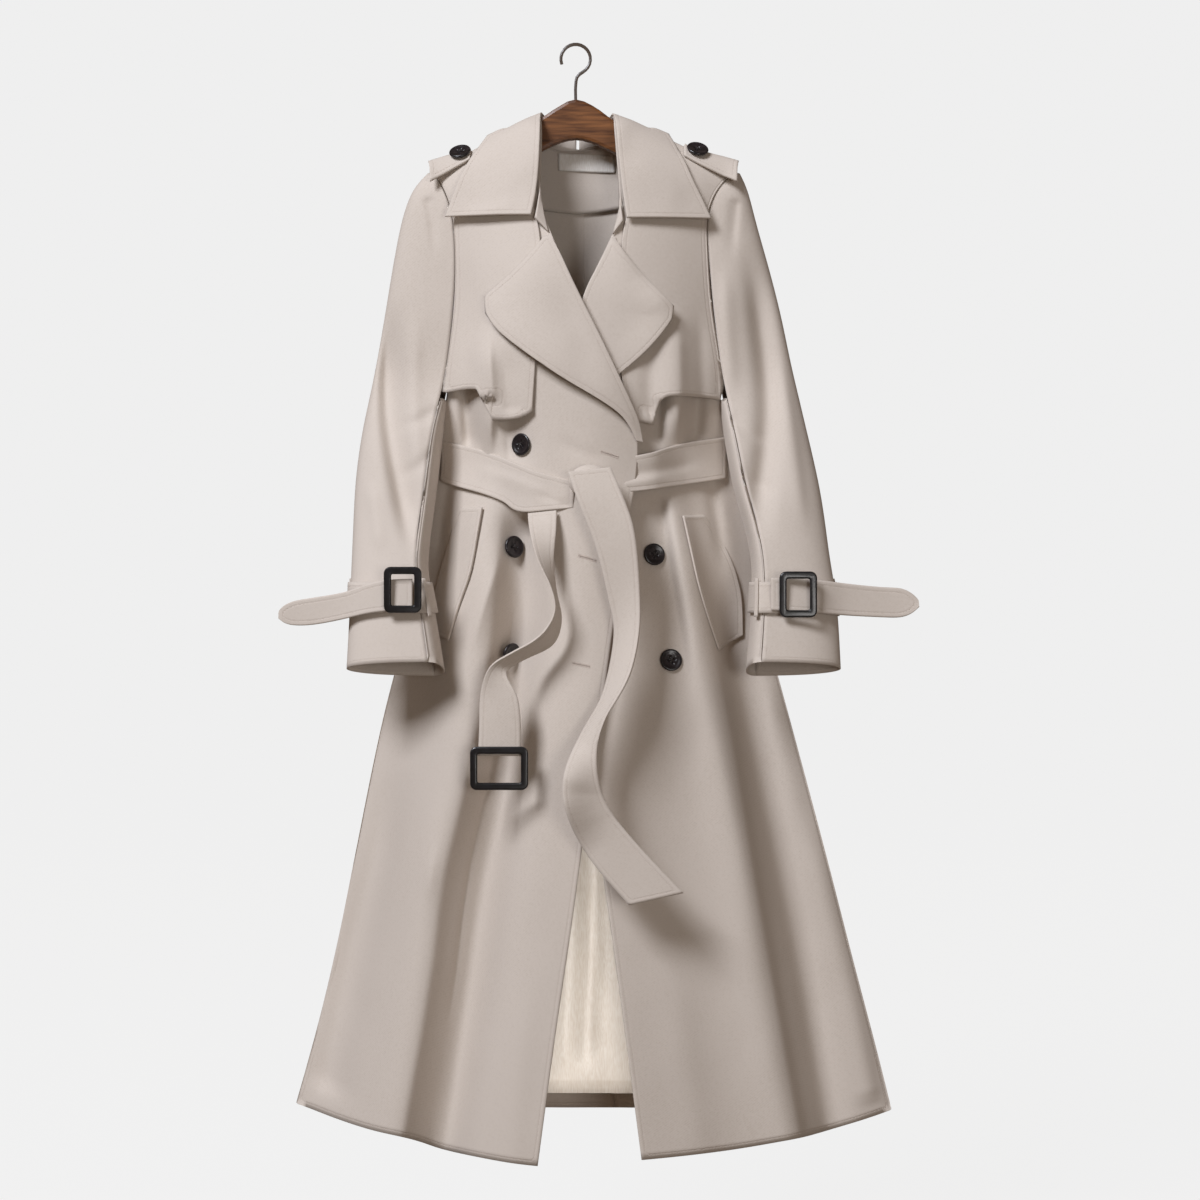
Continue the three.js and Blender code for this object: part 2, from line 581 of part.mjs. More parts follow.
function addInside() {
  const inset = 24;
  const behindHanger = 30;
  const left = (z) => bodyLeft(z) + inset;
  const right = (z) => bodyRight(z) - inset;
  const top = (x) => backTop(x) - mix(6, behindHanger, smoothStep(45, 62, Math.abs(x)));
  const hem = (x) => hemBack(x) + 18;
  const lining = panel(top, hem, left, right, (x, z) => onBack(x, z, -6));
  add('lining_back', wallGeometry(lining, 8, 14, LINING_WALL, TO_FRONT), LINING);
  const facing = (u, v) => {
    const x = mix(-46, 52, u);
    const low = -181 - 5 * Math.sin(Math.PI * u);
    return onBack(x, mix(backTop(x) - 6, low, v), -10);
  };
  add('neck_facing', wallGeometry(facing, 10, 4, WALL, TO_FRONT), SHELL);
  const label = (u, v) => onBack(mix(-21, 46, u), mix(-117, -137, v) - 3 * u, -11.8);
  add('neck_label', wallGeometry(label, 6, 2, 0.6, TO_FRONT), LABEL);
}

// A sleeve is two pieces, each half of a flattened tube, sewn to the armhole at the top.
function sleevePoint(rows, upper) {
  const outer = track(rows, 'z', 'outer');
  const seam = track(rows, 'z', 'seam');
  const inner = track(rows, 'z', 'inner');
  const front = track(rows, 'z', 'front');
  const back = track(rows, 'z', 'back');
  const sideways = Math.sign(outer(-400));
  const top = upper ? SHOULDER_Z - 2 : UNDERARM_Z - 5;
  return (u, v) => {
    const angle = Math.PI * (u - 0.5);
    const hem = mix(CUFF_FRONT_Z, CUFF_BACK_Z, (Math.sin(angle) + 1) / 2);
    const z = mix(top, hem, v ** 1.25);
    const reach = upper ? outer(z) - seam(z) : inner(z) - seam(z);
    const square = Math.cos(angle) ** 0.86;
    const gap = (upper ? 1 : -1) * sideways * SLEEVE_SEAM;
    const x = seam(z) + gap + reach * square;
    const middle = (front(z) + back(z)) / 2;
    const halfDepth = (back(z) - front(z)) / 2;
    return [x, middle + halfDepth * Math.sin(angle), z];
  };
}

function addSleeve(side, rows) {
  const sideways = side === 'left' ? -1 : 1;
  const upper = wallGeometry(sleevePoint(rows, true), 10, 17, WALL, [sideways, 0, 0]);
  const under = wallGeometry(sleevePoint(rows, false), 6, 13, WALL, [-sideways, 0, 0]);
  add(`sleeve_${side}_upper`, upper, SHELL);
  add(`sleeve_${side}_under`, under, SHELL);
}

// The collar: a stand from the neck seam to the roll, and a fall from the roll outwards
function addCollarSide(side, rows) {
  const roll = curveThrough(rows.map((row) => row.roll));
  const edge = curveThrough(rows.map((row) => row.edge));
  const neck = curveThrough(rows.map((row) => row.neck));
  const outwards = side === 'left' ? -1 : 1;
  const fall = (u, v) => {
    const start = roll.getPoint(v);
    const end = edge.getPoint(v);
    const point = start.clone().lerp(end, u);
    const round = 5 * Math.sin(Math.PI * Math.min(u * 1.6, 1) * 0.5) * (1 - u);
    point.z += round * smoothStep(0.15, 0.5, v);
    point.y += mix(-round * 1.4, round * 0.6, smoothStep(0.45, 0.75, v));
    return clearOfBody(point).toArray();
  };
  const stand = (u, v) => {
    const start = roll.getPoint(v);
    const point = start.clone().lerp(neck.getPoint(v), 0.06 + 0.94 * u);
    point.x -= outwards * 3 * (1 - smoothStep(0.4, 0.6, v));
    point.y += mix(2.6, -2.6, smoothStep(0.45, 0.75, v)) * (1 - u * 0.5);
    point.z -= 2.6;
    return point.toArray();
  };
  add(`collar_${side}`, wallGeometry(fall, 6, 13, DOUBLE_WALL, [outwards, 0, 1]), SHELL);
  add(`collar_stand_${side}`, wallGeometry(stand, 2, 13, DOUBLE_WALL, [outwards, 0, 0]), SHELL);
}

// The fall of the collar lies on the storm flaps in front and on the back behind.
function clearOfBody(point) {
  const above = point.z - shoulderLine(point.x);
  const room = leftLift(point.x, point.z) + 3.4 * LAYER;
  if (above > 0) {
    const needed = Math.sqrt(Math.max(0, room ** 2 - point.y ** 2));
    point.z += Math.max(0, needed - above);
    return point;
  }
  if (point.y < 0) point.y = Math.min(point.y, frontY(point.x, point.z) - room);
  else point.y = Math.max(point.y, backY(point.x, point.z) + 1.5 * LAYER);
  return point;
}

function addLapel(side, rows) {
  const keyed = rows.map((row, i) => ({ ...row, v: i / (rows.length - 1) }));
  const rollX = track(keyed, 'v', 'rollX');
  const rollZ = track(keyed, 'v', 'rollZ');
  const edgeX = track(keyed, 'v', 'edgeX');
  const edgeZ = track(keyed, 'v', 'edgeZ');
  const isLeft = side === 'left';
  const point = (u, v) => {
    const x = mix(rollX(v), edgeX(v), u);
    const z = mix(rollZ(v), edgeZ(v), u);
    const free = isLeft ? Math.sin(Math.PI * v) : 1 - smoothStep(0.35, 0.6, v);
    const bow = (4 * Math.sin(Math.PI * u) + 4 * u * u) * free;
    const under = isLeft ? leftLift(x, z) : 0.8;
    return onFront(x, z, under + 2 * LAYER + flapOpening(x, z) + bow);
  };
  add(`lapel_${side}`, wallGeometry(point, 7, 13, DOUBLE_WALL, TO_FRONT), SHELL);
}

function addStormFlap(side, flap) {
  const inner = track(flap.inner, 'z', 'x');
  const hem = track(flap.hem, 'x', 'z');
  const isLeft = side === 'left';
  const armSeam = 2;
  const left = isLeft ? (z) => bodyLeft(z) + armSeam : inner;
  const right = isLeft ? inner : (z) => bodyRight(z) - armSeam;
  const point = (u, v) => {
    const topX = mix(left(-80), right(-80), u);
    const hemX = mix(left(-405), right(-405), u);
    const z = mix(shoulderLine(topX) - 4, hem(hemX), v ** 1.4);
    const x = mix(left(z), right(z), u);
    const under = isLeft ? leftLift(x, z) : 0;
    return onFront(x, z, under + LAYER + 0.9 + flapOpening(x, z));
  };
  add(`storm_flap_${side}`, wallGeometry(point, 10, 12, DOUBLE_WALL, TO_FRONT), SHELL);
}

// Belt
function beltBand(rows, place) {
  const top = track(rows, 'x', 'top');
  const bottom = track(rows, 'x', 'bottom');
  const from = rows[0].x;
  const to = rows[rows.length - 1].x;
  return (u, v) => {
    const x = mix(from, to, v);
    return place(x, mix(top(x), bottom(x), u));
  };
}

function ribbon(rows) {
  const left = curveThrough(rows.map((row) => row.left));
  const right = curveThrough(rows.map((row) => row.right));
  return (u, v) => left.getPoint(v).lerp(right.getPoint(v), u).toArray();
}

function addBelt() {
  const offCloth = LAYER + 1.5;
  const sideClear = (x) => 2.6 * smoothStep(100, 150, Math.abs(x));
  const overlap = (x) => OVERLAP_LIFT * (1 - smoothStep(72, 120, x));
  const overLeft = (x, z) => onFront(x, z, leftLift(x, z) + offCloth + sideClear(x));
  const overRight = (x, z) => onFront(x, z, overlap(x) + offCloth + sideClear(x));
  const behind = (x, z) => onBack(x, z, offCloth + WALL - 2 + sideClear(x));
  const leftBand = beltBand(BELT_FRONT_LEFT, overLeft);
  const rightBand = beltBand(BELT_FRONT_RIGHT, overRight);
  const backBand = beltBand(BELT_BACK, behind);
  add('belt_left', wallGeometry(leftBand, 3, 10, DOUBLE_WALL, TO_FRONT), SHELL);
  add('belt_right', wallGeometry(rightBand, 3, 8, DOUBLE_WALL, TO_FRONT), SHELL);
  add('belt_back', wallGeometry(backBand, 3, 14, DOUBLE_WALL, TO_BACK), SHELL);
  const knot = new THREE.SphereGeometry(0.5, 12, 8);
  knot.scale(KNOT.width, KNOT.depth, KNOT.height);
  knot.translate(KNOT.x, KNOT.y, KNOT.z);
  add('belt_knot', knot, SHELL);
  add('belt_tail_wide', wallGeometry(ribbon(TAIL_WIDE), 2, 30, DOUBLE_WALL, TO_FRONT), SHELL);
  add('belt_tail_buckle', wallGeometry(ribbon(TAIL_BUCKLE), 2, 26, DOUBLE_WALL, TO_FRONT), SHELL);
}

// Cuff straps, buckles and loops
function sleeveRing(rows, angle, z, lift) {
  const outer = track(rows, 'z', 'outer')(z);
  const seam = track(rows, 'z', 'seam')(z);
  const inner = track(rows, 'z', 'inner')(z);
  const front = track(rows, 'z', 'front')(z);
  const back = track(rows, 'z', 'back')(z);
  const around = (turn) => {
    const reach = Math.cos(turn) >= 0 ? outer - seam : seam - inner;
    const square = Math.sign(Math.cos(turn)) * Math.abs(Math.cos(turn)) ** 0.86;
    const depth = (front + back) / 2 + ((back - front) / 2) * Math.sin(turn);
    return new THREE.Vector3(seam + reach * square, depth, z);
  };
  const step = 0.02;
  const along = around(angle + step).sub(around(angle - step));
  const outwards = new THREE.Vector3(along.y, -along.x, 0).normalize();
  const centre = new THREE.Vector3((outer + inner) / 2, (front + back) / 2, z);
  const point = around(angle);
  if (outwards.dot(point.clone().sub(centre)) < 0) outwards.negate();
  return point.addScaledVector(outwards, lift).toArray();
}

function addCuff(side, rows, tail) {
  const sideways = side === 'left' ? -1 : 1;
  const start = -1.2;
  const turn = 2 * Math.PI - 0.03;
  const ring = (u, v) => {
    const z = mix(STRAP_TOP_Z, STRAP_BOTTOM_Z, v);
    return sleeveRing(rows, start + turn * u, z, STRAP_LIFT);
  };
  add(`cuff_strap_${side}`, wallGeometry(ring, 30, 2, DOUBLE_WALL, [-sideways, 0, 0]), SHELL);
  add(`cuff_tail_${side}`, wallGeometry(ribbon(tail), 2, 14, DOUBLE_WALL, TO_FRONT), SHELL);
  const loops = [{ part: 'inner', angle: -1.95 }, { part: 'outer', angle: 0.35 }];
  loops.forEach(({ part, angle }) => {
    const loop = (u, v) => {
      const z = mix(STRAP_TOP_Z + 4, STRAP_BOTTOM_Z - 4, v);
      return sleeveRing(rows, angle + 0.22 * (u - 0.5), z, STRAP_LIFT + WALL + 0.4);
    };
    const outwards = [part === 'inner' ? -sideways : sideways, -0.5, 0];
    add(`cuff_loop_${side}_${part}`, wallGeometry(loop, 2, 4, WALL, outwards), SHELL);
  });
}

function roundedOutline(shape, width, height, round) {
  const x = width / 2 - round;
  const z = height / 2 - round;
  shape.absarc(x, z, round, 0, Math.PI / 2);
  shape.absarc(-x, z, round, Math.PI / 2, Math.PI);
  shape.absarc(-x, -z, round, Math.PI, Math.PI * 1.5);
  shape.absarc(x, -z, round, Math.PI * 1.5, Math.PI * 2);
  shape.closePath();
  return shape;
}

function addBuckle(name, size, place) {
  const bevel = 1.2;
  const width = size.width - 2 * bevel;
  const height = size.height - 2 * bevel;
  const frame = roundedOutline(new THREE.Shape(), width, height, size.round);
  const hole = new THREE.Path();
  const holeWidth = size.width - 2 * size.rim + 2 * bevel;
  const holeHeight = size.height - 2 * size.rim + 2 * bevel;
  frame.holes.push(roundedOutline(hole, holeWidth, holeHeight, 3));
  const geometry = new THREE.ExtrudeGeometry(frame, {
    depth: size.thickness - 2 * bevel,
    curveSegments: 2,
    bevelSegments: 1,
    bevelSize: bevel,
    bevelThickness: bevel,
  });
  geometry.translate(0, 0, -size.thickness / 2 + bevel);
  geometry.rotateX(Math.PI / 2);
  geometry.translate(place.x, place.y, place.z);
  add(name, geometry, BUCKLE);
}

// Shoulder straps and buttons
function addButton(name, place, radius) {
  const [centre, ahead] = place;
  const rim = radius * 0.16;
  const profile = [
    [0, 0], [radius * 0.8, 0], [radius, 1.4], [radius, 2.6],
    [radius - rim, 3.8], [radius * 0.7, 3], [0, 2.8],
  ];
  const points = profile.map(([r, h]) => new THREE.Vector2(r, h));
  const geometry = new THREE.LatheGeometry(points, 14);
  const facing = new THREE.Vector3(...ahead).sub(new THREE.Vector3(...centre)).normalize();
  const turn = new THREE.Quaternion().setFromUnitVectors(new THREE.Vector3(0, 1, 0), facing);
  geometry.applyQuaternion(turn);
  geometry.translate(...centre);
  add(name, geometry, BUTTON);
}

// A button's seat lies square to the cloth, just clear of it under the whole rim.
function buttonSeat(x, z, under, off) {
  const centre = new THREE.Vector3(...onFront(x, z, under));
  const normal = new THREE.Vector3(...onFront(x, z, under + 1)).sub(centre);
  const facing = normal.lerp(new THREE.Vector3(...TO_FRONT), 0.7).normalize();
  let clear = 0;
  for (let turn = 0; turn < 8; turn += 1) {
    const angle = (turn * Math.PI) / 4;
    const rimX = x + BUTTON_RADIUS * Math.cos(angle);
    const rim = new THREE.Vector3(...onFront(rimX, z + BUTTON_RADIUS * Math.sin(angle), under));
    clear = Math.max(clear, rim.sub(centre).dot(facing));
  }
  const seat = centre.clone().addScaledVector(facing, clear + off);
  return [seat.toArray(), seat.clone().add(facing).toArray()];
}

function addFrontButtons() {
  BUTTONS.forEach((button, i) => {
    const under = button.onLeft ? leftLift(button.x, button.z) : 0;
    const place = buttonSeat(button.x, button.z, under, button.seat);
    addButton(`button_${i + 1}`, place, BUTTON_RADIUS);
  });
}

function overShoulderPoint(x, across, lift) {
  const down = 1 - Math.sqrt(1 - (across * EPAULETTE_SPREAD) ** 2);
  const z = shoulderLine(x) - SHOULDER_ROUND * down;
  return across < 0 ? onFront(x, z, lift) : onBack(x, z, lift);
}

function addEpaulette(side, strap) {
  const lift = LAYER + DOUBLE_WALL + 1.7;
  const point = (u, v) => {
    const x = mix(strap.end, strap.start, v);
    const edge = mix(1, 0.85, v);
    const raised = STRAP_RISE * (1 - v) ** 2;
    return overShoulderPoint(x, (2 * u - 1) * edge, lift + raised);
  };
  add(`epaulette_${side}`, wallGeometry(point, 8, 7, DOUBLE_WALL, [0, 0, 1]), SHELL);
  const across = -0.5;
  const seat = overShoulderPoint(strap.button, across, lift + 1.4);
  const ahead = overShoulderPoint(strap.button, across, lift + 7);
  addButton(`epaulette_button_${side}`, [seat, ahead], BUTTON_RADIUS * 0.72);
}

function addPocket(side, rows) {
  const keyed = rows.map((row, i) => ({ ...row, v: i / (rows.length - 1) }));
  const innerX = track(keyed, 'v', 'innerX');
  const innerZ = track(keyed, 'v', 'innerZ');
  const outerX = track(keyed, 'v', 'outerX');
  const outerZ = track(keyed, 'v', 'outerZ');
  const point = (u, v) => {
    const x = mix(innerX(v), outerX(v), u);
    const z = mix(innerZ(v), outerZ(v), u);
    const lift = side === 'left' ? leftLift(x, z) + LAYER - 0.3 : LAYER + 1;
    return onFront(x, z, lift);
  };
  add(`pocket_${side}`, wallGeometry(point, 5, 8, DOUBLE_WALL, TO_FRONT), SHELL);
}

// Hanger: a curved wooden bar and its wire hook
function addHanger() {
  const thickness = 12;
  const bevel = 4;
  const forward = -0.4;
  const armTop = (x) => shoulderLine(x) - 4 - bevel;
  const peak = WOOD_TOP_Z - bevel;
  const neckRise = [[-38, -87], [-18, -74], [0, peak], [20, -74], [41, -89], [64, armTop(64)]];
  const underArc = [
    [70, -130], [43, -119], [20, -108], [0, -104],
    [-20, -108], [-39, -117], [-66, -129], [-100, -141],
  ];
  const outline = new THREE.Shape();
  const through = (points) => outline.splineThru(points.map((p) => new THREE.Vector2(...p)));
  outline.moveTo(-138, armTop(-138));
  outline.lineTo(-100, armTop(-100));
  outline.lineTo(-60, armTop(-60));
  through(neckRise);
  outline.lineTo(110, armTop(110));
  outline.lineTo(156, armTop(156));
  outline.lineTo(158, armTop(158) - 8);
  outline.lineTo(110, -143);
  through(underArc);
  outline.lineTo(-140, armTop(-140) - 8);
  outline.closePath();
  const wood = new THREE.ExtrudeGeometry(outline, {
    depth: thickness - 2 * bevel,
    curveSegments: 2,
    bevelSegments: 2,
    bevelSize: bevel,
    bevelThickness: bevel,
  });
  wood.translate(0, 0, -thickness / 2 + bevel);
  wood.rotateX(Math.PI / 2);
  wood.translate(0, forward, 0);
  add('hanger_wood', wood, WOOD);
  const top = HOOK_WIRE;
  const middle = top - HOOK_RADIUS;
  const bottom = middle - HOOK_RADIUS;
  const route = [[0, 0, WOOD_TOP_Z + 0.3], [0, 0, bottom - 14], [2, 0, bottom - 3]];
  for (let degrees = -60; degrees <= 200; degrees += 20) {
    const turn = THREE.MathUtils.degToRad(degrees);
    route.push([HOOK_RADIUS * Math.cos(turn), 0, middle + HOOK_RADIUS * Math.sin(turn)]);
  }
  const section = new THREE.Shape();
  section.absarc(0, 0, HOOK_WIRE, 0, Math.PI * 2);
  const along = { steps: 26, curveSegments: 3, extrudePath: curveThrough(route) };
  add('hanger_hook', new THREE.ExtrudeGeometry(section, along), STEEL);
}

addFronts();
addBacks();
addInside();
addSleeve('left', SLEEVE_LEFT);
addSleeve('right', SLEEVE_RIGHT);
addCollarSide('left', COLLAR_LEFT);
addCollarSide('right', COLLAR_RIGHT);
addLapel('right', LAPEL_RIGHT);
addLapel('left', LAPEL_LEFT);
addStormFlap('left', FLAP_LEFT);
addStormFlap('right', FLAP_RIGHT);
addBelt();
addBuckle('belt_buckle', BELT_BUCKLE, BELT_BUCKLE_AT);
addCuff('left', SLEEVE_LEFT, CUFF_TAIL_LEFT);
addCuff('right', SLEEVE_RIGHT, CUFF_TAIL_RIGHT);
CUFF_BUCKLES.forEach((place) => addBuckle(`cuff_buckle_${place.side}`, CUFF_BUCKLE, place));
addEpaulette('left', EPAULETTE_LEFT);
addEpaulette('right', EPAULETTE_RIGHT);
addFrontButtons();
addPocket('left', POCKET_LEFT);
addPocket('right', POCKET_RIGHT);
addHanger();

export default coat;
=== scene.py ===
import bpy
import bmesh
import math
import numpy as np
from mathutils import Matrix, Vector, noise
from mathutils.bvhtree import BVHTree
from mathutils.kdtree import KDTree


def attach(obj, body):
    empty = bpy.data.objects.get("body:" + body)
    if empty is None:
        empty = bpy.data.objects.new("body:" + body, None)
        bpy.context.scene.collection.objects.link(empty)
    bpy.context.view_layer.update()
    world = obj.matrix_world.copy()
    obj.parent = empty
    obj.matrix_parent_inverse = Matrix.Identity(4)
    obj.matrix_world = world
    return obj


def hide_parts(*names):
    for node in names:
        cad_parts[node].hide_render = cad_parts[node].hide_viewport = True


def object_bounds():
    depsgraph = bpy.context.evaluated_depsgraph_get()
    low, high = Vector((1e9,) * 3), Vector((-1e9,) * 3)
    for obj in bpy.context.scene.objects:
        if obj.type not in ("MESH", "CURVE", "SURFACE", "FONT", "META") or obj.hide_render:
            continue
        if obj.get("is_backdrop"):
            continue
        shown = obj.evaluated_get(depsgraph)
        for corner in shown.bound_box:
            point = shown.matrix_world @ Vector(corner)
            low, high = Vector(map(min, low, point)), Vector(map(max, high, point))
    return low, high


# Trench coat on a wooden hanger: cloth, sewing, horn buttons, covered buckles, looks, light and camera
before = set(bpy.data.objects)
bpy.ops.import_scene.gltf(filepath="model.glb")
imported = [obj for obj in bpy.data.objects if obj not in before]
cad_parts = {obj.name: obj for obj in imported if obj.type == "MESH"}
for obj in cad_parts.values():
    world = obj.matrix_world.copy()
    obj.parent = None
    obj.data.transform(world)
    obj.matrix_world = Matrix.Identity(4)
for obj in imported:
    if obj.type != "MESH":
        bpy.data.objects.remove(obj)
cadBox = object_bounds()
mm = 0.001
bpy.context.scene.view_settings.view_transform = "Standard"

# The picture's viewpoint: level, in front of the coat's middle
view = {"x": 28, "z": -637, "distance": 2200, "frameWidth": 1380, "sensor": 36}


def linear(hexColour):  # sRGB hex to the linear colour that the shaders take
    channels = [int(hexColour[i:i + 2], 16) / 255 for i in (1, 3, 5)]
    flat = [c / 12.92 if c <= 0.04045 else ((c + 0.055) / 1.055) ** 2.4 for c in channels]
    return (*flat, 1)


def addNode(tree, kind, values=None, links=None, **settings):
    node = tree.nodes.new(kind)
    for name, value in settings.items():
        setattr(node, name, value)
    for socket, value in (values or {}).items():
        node.inputs[socket].default_value = value
    for socket, source in (links or {}).items():
        tree.links.new(source, node.inputs[socket])
    return node


def newMaterial(name, shaderValues):
    material = bpy.data.materials.new(name)
    material.use_nodes = True
    tree = material.node_tree
    tree.nodes.clear()
    shader = addNode(tree, "ShaderNodeBsdfPrincipled", shaderValues)
    output = addNode(tree, "ShaderNodeOutputMaterial")
    tree.links.new(shader.outputs[0], output.inputs[0])
    return material, tree, shader


def twoColours(tree, factor, first, second, low=0.35, high=0.65):
    ramp = addNode(tree, "ShaderNodeValToRGB", links={"Fac": factor})
    ramp.color_ramp.elements[0].position = low
    ramp.color_ramp.elements[1].position = high
    ramp.color_ramp.elements[0].color = linear(first)
    ramp.color_ramp.elements[1].color = linear(second)
    return ramp.outputs["Color"]


# Cotton gabardine: steep twill rib, matt face with a faint bloom where it turns away from the eye
gabardine = {
    "light": "#cec4ba", "dark": "#c0b5a9", "ribSpacing": 1.6, "ribHeight": 0.05,
    "slubSpacing": 2.4, "cloudSpacing": 160, "roughness": 0.82, "sheen": 0.12,
    "stitchInset": 5, "grooveWidth": 1.4, "grooveDepth": 0.4,
}


def makeGabardine(name, settings):
    material, tree, shader = newMaterial(name, {
        "Roughness": settings["roughness"], "Sheen Weight": settings["sheen"], "Sheen Roughness": 0.45,
        "Specular IOR Level": 0.25,
    })
    place = addNode(tree, "ShaderNodeTexCoord").outputs["Object"]
    ribScale = 2 * math.pi / (settings["ribSpacing"] * mm) / 20  # a wave's bands are 20 scale units to a turn
    tilted = addNode(tree, "ShaderNodeMapping", {"Rotation": (0, math.radians(63), 0)}, {"Vector": place})
    ribs = addNode(tree, "ShaderNodeTexWave", {"Scale": ribScale, "Distortion": 0.6, "Detail": 1},
                   {"Vector": tilted.outputs[0]}, bands_direction="X")
    slubs = addNode(tree, "ShaderNodeTexNoise", {"Scale": 1 / (settings["slubSpacing"] * mm), "Detail": 3},
                    {"Vector": place})
    clouds = addNode(tree, "ShaderNodeTexNoise", {"Scale": 1 / (settings["cloudSpacing"] * mm), "Detail": 2},
                     {"Vector": place})
    weave = addNode(tree, "ShaderNodeMath", {1: 0.5}, {0: ribs.outputs["Fac"]}, operation="MULTIPLY")
    grain = addNode(tree, "ShaderNodeMath", links={0: weave.outputs[0], 1: slubs.outputs["Fac"]},
                    operation="ADD")
    shade = addNode(tree, "ShaderNodeMath", {1: 0.6}, {0: clouds.outputs["Fac"]}, operation="MULTIPLY")
    mixed = addNode(tree, "ShaderNodeMath", links={0: grain.outputs[0], 1: shade.outputs[0]},
                    operation="ADD")
    # the needle line pulls the cloth in beside every stitched edge: a pressed groove in the bump, and painted shade
    # that darkens the colour along it
    fromEdge = addNode(tree, "ShaderNodeAttribute", attribute_name="fromEdge")
    fromLine = addNode(tree, "ShaderNodeMath", {1: settings["stitchInset"]}, {0: fromEdge.outputs["Fac"]},
                       operation="SUBTRACT")
    offLine = addNode(tree, "ShaderNodeMath", links={0: fromLine.outputs[0]}, operation="ABSOLUTE")
    groove = addNode(tree, "ShaderNodeMapRange", {"From Min": 0, "From Max": settings["grooveWidth"]},
                     {"Value": offLine.outputs[0]}, interpolation_type="SMOOTHSTEP")
    # painted shade: the colour is up to 0.12 darker along the groove
    lighter = addNode(tree, "ShaderNodeMath", {1: 0.12, 2: -0.12}, {0: groove.outputs[0]},
                      operation="MULTIPLY_ADD")
    toned = addNode(tree, "ShaderNodeMath", links={0: mixed.outputs[0], 1: lighter.outputs[0]},
                    operation="ADD")
    colour = twoColours(tree, toned.outputs[0], settings["dark"], settings["light"], 0.6, 1.35)
    tree.links.new(colour, shader.inputs["Base Color"])
    pressed = addNode(tree, "ShaderNodeBump", {"Strength": 0.5, "Distance": settings["grooveDepth"] * mm},
                      {"Height": groove.outputs[0]})
    bump = addNode(tree, "ShaderNodeBump", {"Strength": 0.14, "Distance": settings["ribHeight"] * mm},
                   {"Height": grain.outputs[0], "Normal": pressed.outputs[0]})
    tree.links.new(bump.outputs[0], shader.inputs["Normal"])
    return material


# Acetate satin lining: smooth face whose lustre spreads along the wrinkles
satin = {"light": "#f4eee6", "dark": "#e8dfd4", "threadSpacing": 1.2, "roughness": 0.38}


def makeSatin(name, settings):
    material, tree, shader = newMaterial(name, {
        "Roughness": settings["roughness"], "Sheen Weight": 0.15, "Specular IOR Level": 0.5,
    })
    place = addNode(tree, "ShaderNodeTexCoord").outputs["Object"]
    stretched = addNode(tree, "ShaderNodeMapping", {"Scale": (1, 1, 0.12)}, {"Vector": place})
    threads = addNode(tree, "ShaderNodeTexNoise", {"Scale": 1 / (settings["threadSpacing"] * mm), "Detail": 2},
                      {"Vector": stretched.outputs[0]})
    colour = twoColours(tree, threads.outputs["Fac"], settings["dark"], settings["light"])
    tree.links.new(colour, shader.inputs["Base Color"])
    bump = addNode(tree, "ShaderNodeBump", {"Strength": 0.12, "Distance": 0.1 * mm},
                   {"Height": threads.outputs["Fac"]})
    tree.links.new(bump.outputs[0], shader.inputs["Normal"])
    return material


# Varnished beech stained walnut: long grain, a soft gloss over it
stainedBeech = {"light": "#8a5a34", "dark": "#4a2a17", "grainWidth": 3.5, "roughness": 0.35}


def makeStainedBeech(name, settings):
    material, tree, shader = newMaterial(name, {
        "Roughness": settings["roughness"], "Coat Weight": 0.35, "Coat Roughness": 0.2,
    })
    place = addNode(tree, "ShaderNodeTexCoord").outputs["Object"]
    along = addNode(tree, "ShaderNodeMapping", {"Scale": (0.08, 1, 1)}, {"Vector": place})
    grain = addNode(tree, "ShaderNodeTexNoise",
                    {"Scale": 1 / (settings["grainWidth"] * mm), "Detail": 6, "Distortion": 0.4},
                    {"Vector": along.outputs[0]})
    colour = twoColours(tree, grain.outputs["Fac"], settings["dark"], settings["light"], 0.3, 0.7)
    tree.links.new(colour, shader.inputs["Base Color"])
    bump = addNode(tree, "ShaderNodeBump", {"Strength": 0.2, "Distance": 0.15 * mm},
                   {"Height": grain.outputs["Fac"]})
    tree.links.new(bump.outputs[0], shader.inputs["Normal"])
    return material


# Polished dark horn: brown-black with paler streaks and a low gloss
polishedHorn = {"light": "#2f282b", "dark": "#151215", "streak": 5, "roughness": 0.28}


def makeHorn(name, settings):
    material, tree, shader = newMaterial(name, {"Roughness": settings["roughness"], "IOR": 1.54})
    place = addNode(tree, "ShaderNodeTexCoord").outputs["Object"]
    along = addNode(tree, "ShaderNodeMapping", {"Scale": (0.35, 1, 1)}, {"Vector": place})
    streaks = addNode(tree, "ShaderNodeTexNoise",
                      {"Scale": 1 / (settings["streak"] * mm), "Detail": 4, "Distortion": 1.2},
                      {"Vector": along.outputs[0]})
    colour = twoColours(tree, streaks.outputs["Fac"], settings["dark"], settings["light"], 0.4, 0.75)
    tree.links.new(colour, shader.inputs["Base Color"])
    return material


# Lacquered moulded buckle: near black, sharp highlights, faint waviness from the mould
lacquer = {"colour": "#0b0b0c", "lighter": "#151418", "wave": 9, "roughness": 0.32}


def makeLacquer(name, settings):
    material, tree, shader = newMaterial(name, {
        "Roughness": settings["roughness"], "IOR": 1.5, "Coat Weight": 0.25, "Coat Roughness": 0.15,
    })
    place = addNode(tree, "ShaderNodeTexCoord").outputs["Object"]
    wave = addNode(tree, "ShaderNodeTexNoise", {"Scale": 1 / (settings["wave"] * mm), "Detail": 1},
                   {"Vector": place})
    colour = twoColours(tree, wave.outputs["Fac"], settings["colour"], settings["lighter"])
    tree.links.new(colour, shader.inputs["Base Color"])
    bump = addNode(tree, "ShaderNodeBump", {"Strength": 0.1, "Distance": 0.2 * mm},
                   {"Height": wave.outputs["Fac"]})
    tree.links.new(bump.outputs[0], shader.inputs["Normal"])
    return material


